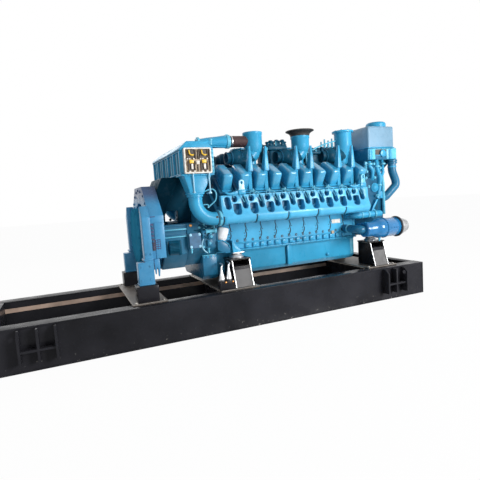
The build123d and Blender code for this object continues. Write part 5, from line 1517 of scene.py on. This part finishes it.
class ENGINE_OT_free_end(bpy.types.Operator):
    """Models the gear case, tank, coolant pipes and pumps at the free end"""
    bl_idname = "engine_set.free_end"
    bl_label = "Free End"

    def execute(self, context):
        sizes = context.scene.engine_sizes
        # The gear case in the darker case blue: a painted shade
        softened("gear_case", "case", 0.012, extra=both_banks(self.case_trim(sizes)))
        softened("tank_column", "mid", 0.012, extra=both_banks(self.shelf_trim(sizes)))
        # The tank in the lightened tank blue: its paint colour with a painted reflection
        softened("expansion_tank", "tank", 0.024, steps=4, extra=self.tank_trim())
        softened("tank_cap", "blue", 0.004, extra=self.cap_trim())
        dress("coolant_pipes_finished", both_banks(self.pipes()), ["coolant_pipes"])
        dress("bypass_pipes_finished", both_banks(self.bypass()), ["bypass_pipes"])
        dress("coolant_pumps_finished", both_banks(self.pumps()), ["coolant_pumps"])
        dress("pump_noses_finished", both_banks(self.noses()), ["pump_noses"])
        return {"FINISHED"}

    def case_trim(self, sizes):
        """Round covers, ribs, flanges, a riser pipe and bolts on the gear case's side and end."""
        y = GEAR_FACE
        ribs = [slab([(x, y, z) for x, z in ((2.18, 1.50), (2.22, 1.50), (2.34, 1.86), (2.30, 1.86))],
            (0, -0.030, 0), 0.005), slab([(x, y, z) for x, z in ((2.43, 1.34), (2.47, 1.34),
            (2.60, 1.55), (2.56, 1.55))], (0, -0.045, 0), 0.006)]
        riser = [tube([(2.715, y - 0.030, 1.30), (2.715, y - 0.030, 1.80), (2.715, y - 0.010, 1.92)],
            0.026, 0.06)]
        boss = [turned(mm(0, 0, 0, 74, 18, 72, 24, 52, 34, 50, 38, 0), (x, y + 0.002, z), NEARER, 32)
            for x, z in ((2.30, 1.60), (2.56, 1.74))]
        pads = [brick((2.245, y - 0.022, 1.66), (2.36, y + 0.01, 1.84), 0.008),
            brick((2.64, y - 0.040, 1.56), (2.70, y + 0.01, 1.68), 0.008)]
        fitting = [turned(mm(0, 0, 0, 26, 30, 26, 34, 18, 70, 18, 70, 0), (2.588, y - 0.002, 1.60),
            (0, -1, 0.2), 20)]
        # A thin deep blue plate where the case has a hollow: a painted shade
        hollow = [opening((2.555, y - 0.002, 1.425), 0.120, 0.100, 0.03, 0.03, 0.006, 0.2)]
        edge = [brick((2.168, y - 0.016, 1.36), (2.194, y + 0.01, 1.86), 0.005)]
        spots = [(2.181, y - 0.016, 1.39 + i * 0.065) for i in range(8)]
        spots += around((2.302, y - 0.018, 1.60), 0.06, (0.5, 1.55, 2.6, 3.64, 4.7, 5.75), "Y")
        bolts = hexes(spots, NEARER, sizes.bolt_size * 0.7)
        front = [turned(mm(0, 0, 0, 160, 16, 160, 20, 154, 20, 112, 46, 106, 50, 100, 50, 45, 42, 40,
            42, 0), (2.729, -0.19, 1.30), RIGHT, 36), brick((2.728, -0.36, 1.55), (2.742, -0.02, 1.84),
            0.006), *hexes(around((2.749, -0.19, 1.30), 0.135, evenly(10), "X"), RIGHT, 0.010),
            *hexes([(2.742, across, z) for across in (-0.335, -0.19, -0.045) for z in (1.575, 1.815)],
            RIGHT, 0.010)]
        return (painted(ribs + boss + pads + edge + front, "blue")
            + painted(riser + fitting + bolts, "light") + painted(hollow, "deep"))

    def shelf_trim(self, sizes):
        """A dark plate under the tank as the painted shade of its opening, pipe flanges and pale fittings on
        the casting.
        """
        y = GEAR_FACE
        # A dark plate for the opening: a painted shade inside it
        mouth = [opening((2.715, y - 0.004, 2.300), 0.225, 0.098, 0.028, 0.028, 0.010)]
        lip = [brick((2.600, y - 0.020, 2.246), (2.830, y + 0.006, 2.262), 0.005),
            turned(mm(0, 0, 0, 58, 20, 56, 26, 36, 26, 0), (2.745, y - 0.010, 2.285), NEARER, 28)]
        flange = [turned(mm(0, 40, 0, 82, 4, 86, 24, 86, 28, 82, 28, 40), (2.99, COOLANT_Y, z))
            for z in (2.150, 2.115)]
        ears = [brick((2.47, y - 0.018, 2.186), (2.54, y + 0.01, 2.350), 0.010),
            brick((2.88, y - 0.018, 2.186), (2.93, y + 0.01, 2.350), 0.010)]
        below = [brick((2.47, -0.335, 2.10), (2.55, -0.295, 2.168), 0.008),
            brick((2.59, -0.350, 2.00), (2.74, -0.300, 2.07), 0.012)]
        neck = [turned(mm(0, 0, 0, 40, 30, 40, 34, 30, 120, 30, 120, 0), (2.50, -0.300, 1.98), UP, 20)]
        spots = [(x, y - 0.018, z) for x in (2.488, 2.522) for z in (2.21, 2.27, 2.33)]
        front = [brick((2.462, y - 0.006, 2.192), (2.600, y + 0.004, 2.362), 0.004),
            brick((2.832, y - 0.006, 2.192), (3.040, y + 0.004, 2.362), 0.004),
            brick((2.596, y - 0.006, 2.350), (2.836, y + 0.004, 2.362), 0.002)]
        cluster = [tube([(2.47, y, 2.16), (2.47, y - 0.01, 2.08), (2.53, y - 0.01, 2.02),
            (2.53, y + 0.02, 1.86)], 0.030, 0.04), tube([(2.62, y, 2.18), (2.62, y - 0.01, 2.02),
            (2.68, y - 0.01, 1.92), (2.66, y, 1.70), (2.62, y, 1.56)], 0.034, 0.06),
            tube([(2.76, y + 0.03, 2.18), (2.76, y + 0.01, 1.98), (2.71, y, 1.90), (2.71, y, 1.62)],
            0.026, 0.05)]
        valves = []
        for place in ((2.47, y - 0.01, 2.10), (2.62, y - 0.01, 2.06), (2.76, y + 0.01, 2.10),
                (2.66, y - 0.002, 1.76)):
            valves.append(turned(mm(0, 0, 0, 40, 8, 46, 24, 46, 32, 40, 32, 0), place))
        for x, z in ((2.42, 2.00), (2.57, 2.12), (2.70, 2.05), (2.40, 1.90), (2.58, 1.90),
                (2.45, 1.76)):
            valves += [turned(mm(0, 0, 0, 24, 20, 24, 24, 15, 50, 15, 52, 22, 66, 22, 66, 0),
                (x, y + 0.06, z), NEARER, 16)]
            valves += hexes([(x, y - 0.006, z)], NEARER, 0.014)
        return (painted(mouth, "cell") + painted(lip + ears + cluster, "blue") + painted(flange, "mid")
            + painted(front + valves, "light") + painted(below + neck
            + hexes(spots, NEARER, sizes.bolt_size * 0.7), "light"))

    def tank_trim(self):
        """A weld seam along the foot of the tank's near side, and a flange round its foot."""
        low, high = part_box("expansion_tank")
        seam = tube([(low.x + 0.03, low.y + 0.0005, low.z + 0.012),
            (high.x - 0.03, low.y + 0.0005, low.z + 0.012)], 0.004, fineness=1)
        flange = brick((low.x - 0.006, low.y - 0.006, low.z), (high.x + 0.006, high.y + 0.006,
            low.z + 0.010), 0.003)
        return painted([seam, flange], "blue")

    def cap_trim(self):
        low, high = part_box("tank_cap")
        x, y = (low.x + high.x) / 2, (low.y + high.y) / 2
        collar = turned(mm(0, 0, 0, 164, 12, 164, 18, 158, 18, 0), (x, y, low.z - 0.002))
        knob = turned(mm(0, 0, 0, 50, 10, 50, 14, 40, 14, 0), (x, y, high.z - 0.004))
        spots = around((x, y, high.z - 0.022), 0.138, evenly(8), "Z")
        return painted([collar, knob, *hexes(spots, UP, 0.010)], "blue")

    def pipes(self):
        """The bent coolant pipe from the tank's shelf down to the gear case, with its joints."""
        y = COOLANT_Y
        route = [(2.99, y, 2.180), (2.99, y, 2.000), (3.065, y, 1.830), (3.065, y, 1.760),
            (2.830, y, 1.570), (2.730, y, 1.570)]
        pipe = tube(route, 0.066, 0.085, fineness=7, corner_steps=8)
        bands = [turned(mm(0, 40, 0, 71, 22, 71, 22, 40), (2.99, y, 2.055)),
            turned(mm(0, 40, 0, 72, 6, 78, 26, 78, 32, 72, 32, 40), (2.735, y, 1.570), RIGHT)]
        return painted([pipe], "mid") + painted(bands, "blue")

    def bypass(self):
        """The short wide bypass bend beside the gear case, with its flanges."""
        low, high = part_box("bypass_pipes")
        z = (low.z + high.z) / 2
        left, right, out = low.x + 0.052, high.x - 0.052, low.y + 0.052
        pipe = tube([(right, -0.43, z), (right, out, z), (left, out, z), (left, -0.41, z)], 0.0525,
            0.085, fineness=7, corner_steps=8)
        flanges = [turned(mm(0, 30, 0, 72, 4, 76, 18, 76, 22, 70, 22, 30), (x, y, z), FARTHER)
            for x, y in ((left, -0.432), (right, -0.452))]
        band = [turned(mm(0, 30, 0, 57, 22, 57, 22, 30), (left + 0.13 + i * 0.13, out, z), RIGHT)
            for i in range(3)]
        return painted([pipe, *flanges], "blue") + painted(band, "light")

    def pumps(self):
        """Pump body with its volute ring, clamp, ribs and supply pipe."""
        low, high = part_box("coolant_pumps")
        y, z = PUMP_Y, (low.z + high.z) / 2
        left, right = low.x, high.x
        body = turned(mm(0, 0, 0, 104, 12, 118, 30, 120, 36, 110, 150, 113, 190, 122, 230, 142, 250,
            149, 360, 150, 368, 146, 600, 146, 610, 140, 650, 140, 650, 0), (left, y, z), RIGHT, 48)
        seam = turned(mm(0, 80, 0, 150, 4, 157, 20, 157, 24, 150, 24, 80), (left + 0.350, y, z), RIGHT,
            48)
        black = turned(mm(0, 50, 0, 150, 4, 161, 26, 161, 30, 150, 30, 50), (right - 0.030, y, z),
            RIGHT, 48)
        neck = turned(mm(0, 0, 0, 62, 200, 60, 230, 78, 310, 80, 310, 0), (left + 0.175, y + 0.06, z),
            FARTHER, 32)
        leg = tube([(left + 0.03, y, z), (left - 0.05, y, z + 0.005), (left - 0.08, y + 0.03, z + 0.01),
            (left - 0.095, y + 0.09, z + 0.015), (left - 0.10, -0.42, z + 0.02)], 0.062, fineness=5)
        clip = turned(mm(0, 30, 0, 68, 22, 68, 22, 30), (left - 0.10, -0.54, z + 0.02), FARTHER)
        spots = around((left + 0.372, y, z), 0.143, (0.3, 1.3, 2.3, 3.3, 4.3, 5.3), "X")
        ribs = [brick((left + 0.42 + i * 0.05, y - 0.151, z - 0.010),
            (left + 0.426 + i * 0.05, y - 0.13, z + 0.012), 0.002) for i in range(3)]
        drain = turned(mm(0, 0, 0, 20, 30, 20, 34, 12, 60, 12, 60, 0), (left + 0.30, y, z - 0.140),
            DOWN, 16)
        return (painted([body, seam, neck, *hexes(spots, RIGHT, 0.010), *ribs], "gloss")
            + painted([leg], "mid") + painted([drain, clip], "light") + painted([black], "rubber"))

    def noses(self):
        """The ribbed grey cone at each pump's end."""
        low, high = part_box("pump_noses")
        y, z = PUMP_Y, (low.z + high.z) / 2
        x = low.x
        cone = turned(mm(0, 0, 0, 148, 14, 149, 36, 140, 110, 112, 150, 98, 160, 92, 177, 88, 180, 62,
            164, 54, 164, 0), (x, y, z), RIGHT, 48)
        fins = []
        for i in range(18):
            a = i * math.tau / 18
            out = Vector((0, math.cos(a), math.sin(a)))
            tilt = Vector((x + 0.018, y, z)) + out * 0.146
            tip = Vector((x + 0.150, y, z)) + out * 0.100
            fins.append(rod(tilt, tip, 0.0052, 0.0, 6))
        return painted([cone, *fins], "nose")


class ENGINE_OT_stage(bpy.types.Operator):
    """Adds the pale floor, the soft lamps, the white surroundings and the camera"""
    bl_idname = "engine_set.stage"
    bl_label = "Stage"

    def execute(self, context):
        stage = context.scene.engine_stage
        bpy.ops.object.select_all(action="DESELECT")
        bpy.ops.mesh.primitive_plane_add(size=120)
        floor = bpy.context.active_object
        floor.name = "floor"
        floor.data.materials.append(self.floor_finish())
        self.lamp("key_lamp", (5.6, -8.6, 3.2), stage.key_power, 3.6)
        self.lamp("fill_lamp", (-7.0, -4.0, 4.0), stage.fill_power, 5.0)
        self.lamp("back_lamp", (-2.0, 7.0, 6.5), stage.fill_power * 3.0, 5.0)
        self.surroundings(context.scene, stage.sky_level)
        bpy.ops.object.camera_add(location=stage.camera_place, rotation=stage.camera_turn)
        camera = bpy.context.active_object
        camera.data.lens = stage.focal_length
        context.scene.camera = camera
        context.scene.view_settings.view_transform = "Standard"
        return {"FINISHED"}

    def lamp(self, name, place, power, size):
        """A square soft lamp aimed at the engine's middle."""
        bpy.ops.object.light_add(type="AREA", location=place)
        lamp = bpy.context.active_object
        lamp.name = name
        lamp.rotation_euler = (Vector((0.3, 0, 1.2)) - Vector(place)).to_track_quat("-Z",
            "Y").to_euler()
        lamp.data.energy = power
        lamp.data.size = size

    def seen_directly(self, tree):
        """One where the camera, a reflection or clear film shows the background."""
        path = tree.nodes.new("ShaderNodeLightPath")
        total = path.outputs["Is Camera Ray"]
        for ray in ("Is Glossy Ray", "Is Transmission Ray"):
            both = tree.nodes.new("ShaderNodeMath")
            both.operation = "MAXIMUM"
            link(tree, total, both.inputs[0])
            link(tree, path.outputs[ray], both.inputs[1])
            total = both.outputs["Value"]
        return total

    def floor_finish(self):
        """Pale grey that the camera sees nearly white, with the object's shadow kept."""
        paint, tree, shader = finish_base("pale_floor", (0.86, 0.86, 0.86), 0.85)
        shader.inputs["Specular IOR Level"].default_value = 0.1
        glow = tree.nodes.new("ShaderNodeEmission")
        glow.inputs["Color"].default_value = (1, 1, 1, 1)
        blend = tree.nodes.new("ShaderNodeMixShader")
        share = tree.nodes.new("ShaderNodeMath")
        share.operation = "MULTIPLY"
        share.inputs[1].default_value = FLOOR_WHITE
        link(tree, self.seen_directly(tree), share.inputs[0])
        link(tree, share.outputs["Value"], blend.inputs["Fac"])
        link(tree, shader.outputs["BSDF"], blend.inputs[1])
        link(tree, glow.outputs["Emission"], blend.inputs[2])
        link(tree, blend.outputs["Shader"], tree.nodes["Material Output"].inputs["Surface"])
        return paint

    def surroundings(self, scene, level):
        """White to the camera, softer as light and in reflections."""
        world = bpy.data.worlds.new("surroundings")
        scene.world = world
        world.use_nodes = True
        tree = world.node_tree
        light = tree.nodes["Background"]
        light.inputs["Color"].default_value = (0.95, 0.97, 1, 1)
        light.inputs["Strength"].default_value = level
        white = tree.nodes.new("ShaderNodeBackground")
        white.inputs["Color"].default_value = (1, 1, 1, 1)
        white.inputs["Strength"].default_value = 1.0
        blend = tree.nodes.new("ShaderNodeMixShader")
        link(tree, self.seen_directly(tree), blend.inputs["Fac"])
        link(tree, light.outputs["Background"], blend.inputs[1])
        link(tree, white.outputs["Background"], blend.inputs[2])
        link(tree, blend.outputs["Shader"], tree.nodes["World Output"].inputs["Surface"])


class ENGINE_PT_sidebar(bpy.types.Panel):
    """Lists the steps that dress the engine"""
    bl_idname = "ENGINE_PT_sidebar"
    bl_label = "Engine Set"
    bl_space_type = "VIEW_3D"
    bl_region_type = "UI"
    bl_category = "Engine Set"

    def draw(self, context):
        layout = self.layout
        for group in (context.scene.engine_tones, context.scene.engine_sizes,
                context.scene.engine_stage):
            for name in group.__annotations__:
                layout.prop(group, name)
        for step in STEPS:
            layout.operator(step.bl_idname)


STEPS = (ENGINE_OT_base_frame, ENGINE_OT_pedestals, ENGINE_OT_crankcase, ENGINE_OT_heads,
    ENGINE_OT_charge_air, ENGINE_OT_air_cooler, ENGINE_OT_electrics, ENGINE_OT_drive_end,
    ENGINE_OT_turbochargers, ENGINE_OT_free_end, ENGINE_OT_stage)
GROUPS = (("engine_tones", EngineTones), ("engine_sizes", EngineSizes), ("engine_stage", StageSettings))


def register():
    for name, group in GROUPS:
        bpy.utils.register_class(group)
        setattr(bpy.types.Scene, name, PointerProperty(type=group))
    for step in STEPS:
        bpy.utils.register_class(step)
    bpy.utils.register_class(ENGINE_PT_sidebar)


def unregister():
    bpy.utils.unregister_class(ENGINE_PT_sidebar)
    for step in reversed(STEPS):
        bpy.utils.unregister_class(step)
    for name, group in reversed(GROUPS):
        delattr(bpy.types.Scene, name)
        bpy.utils.unregister_class(group)


def main():
    register()
    make_paints(bpy.context.scene.engine_tones)
    for step in STEPS:
        group, name = step.bl_idname.split(".")
        getattr(getattr(bpy.ops, group), name)()


if __name__ == "__main__":
    main()
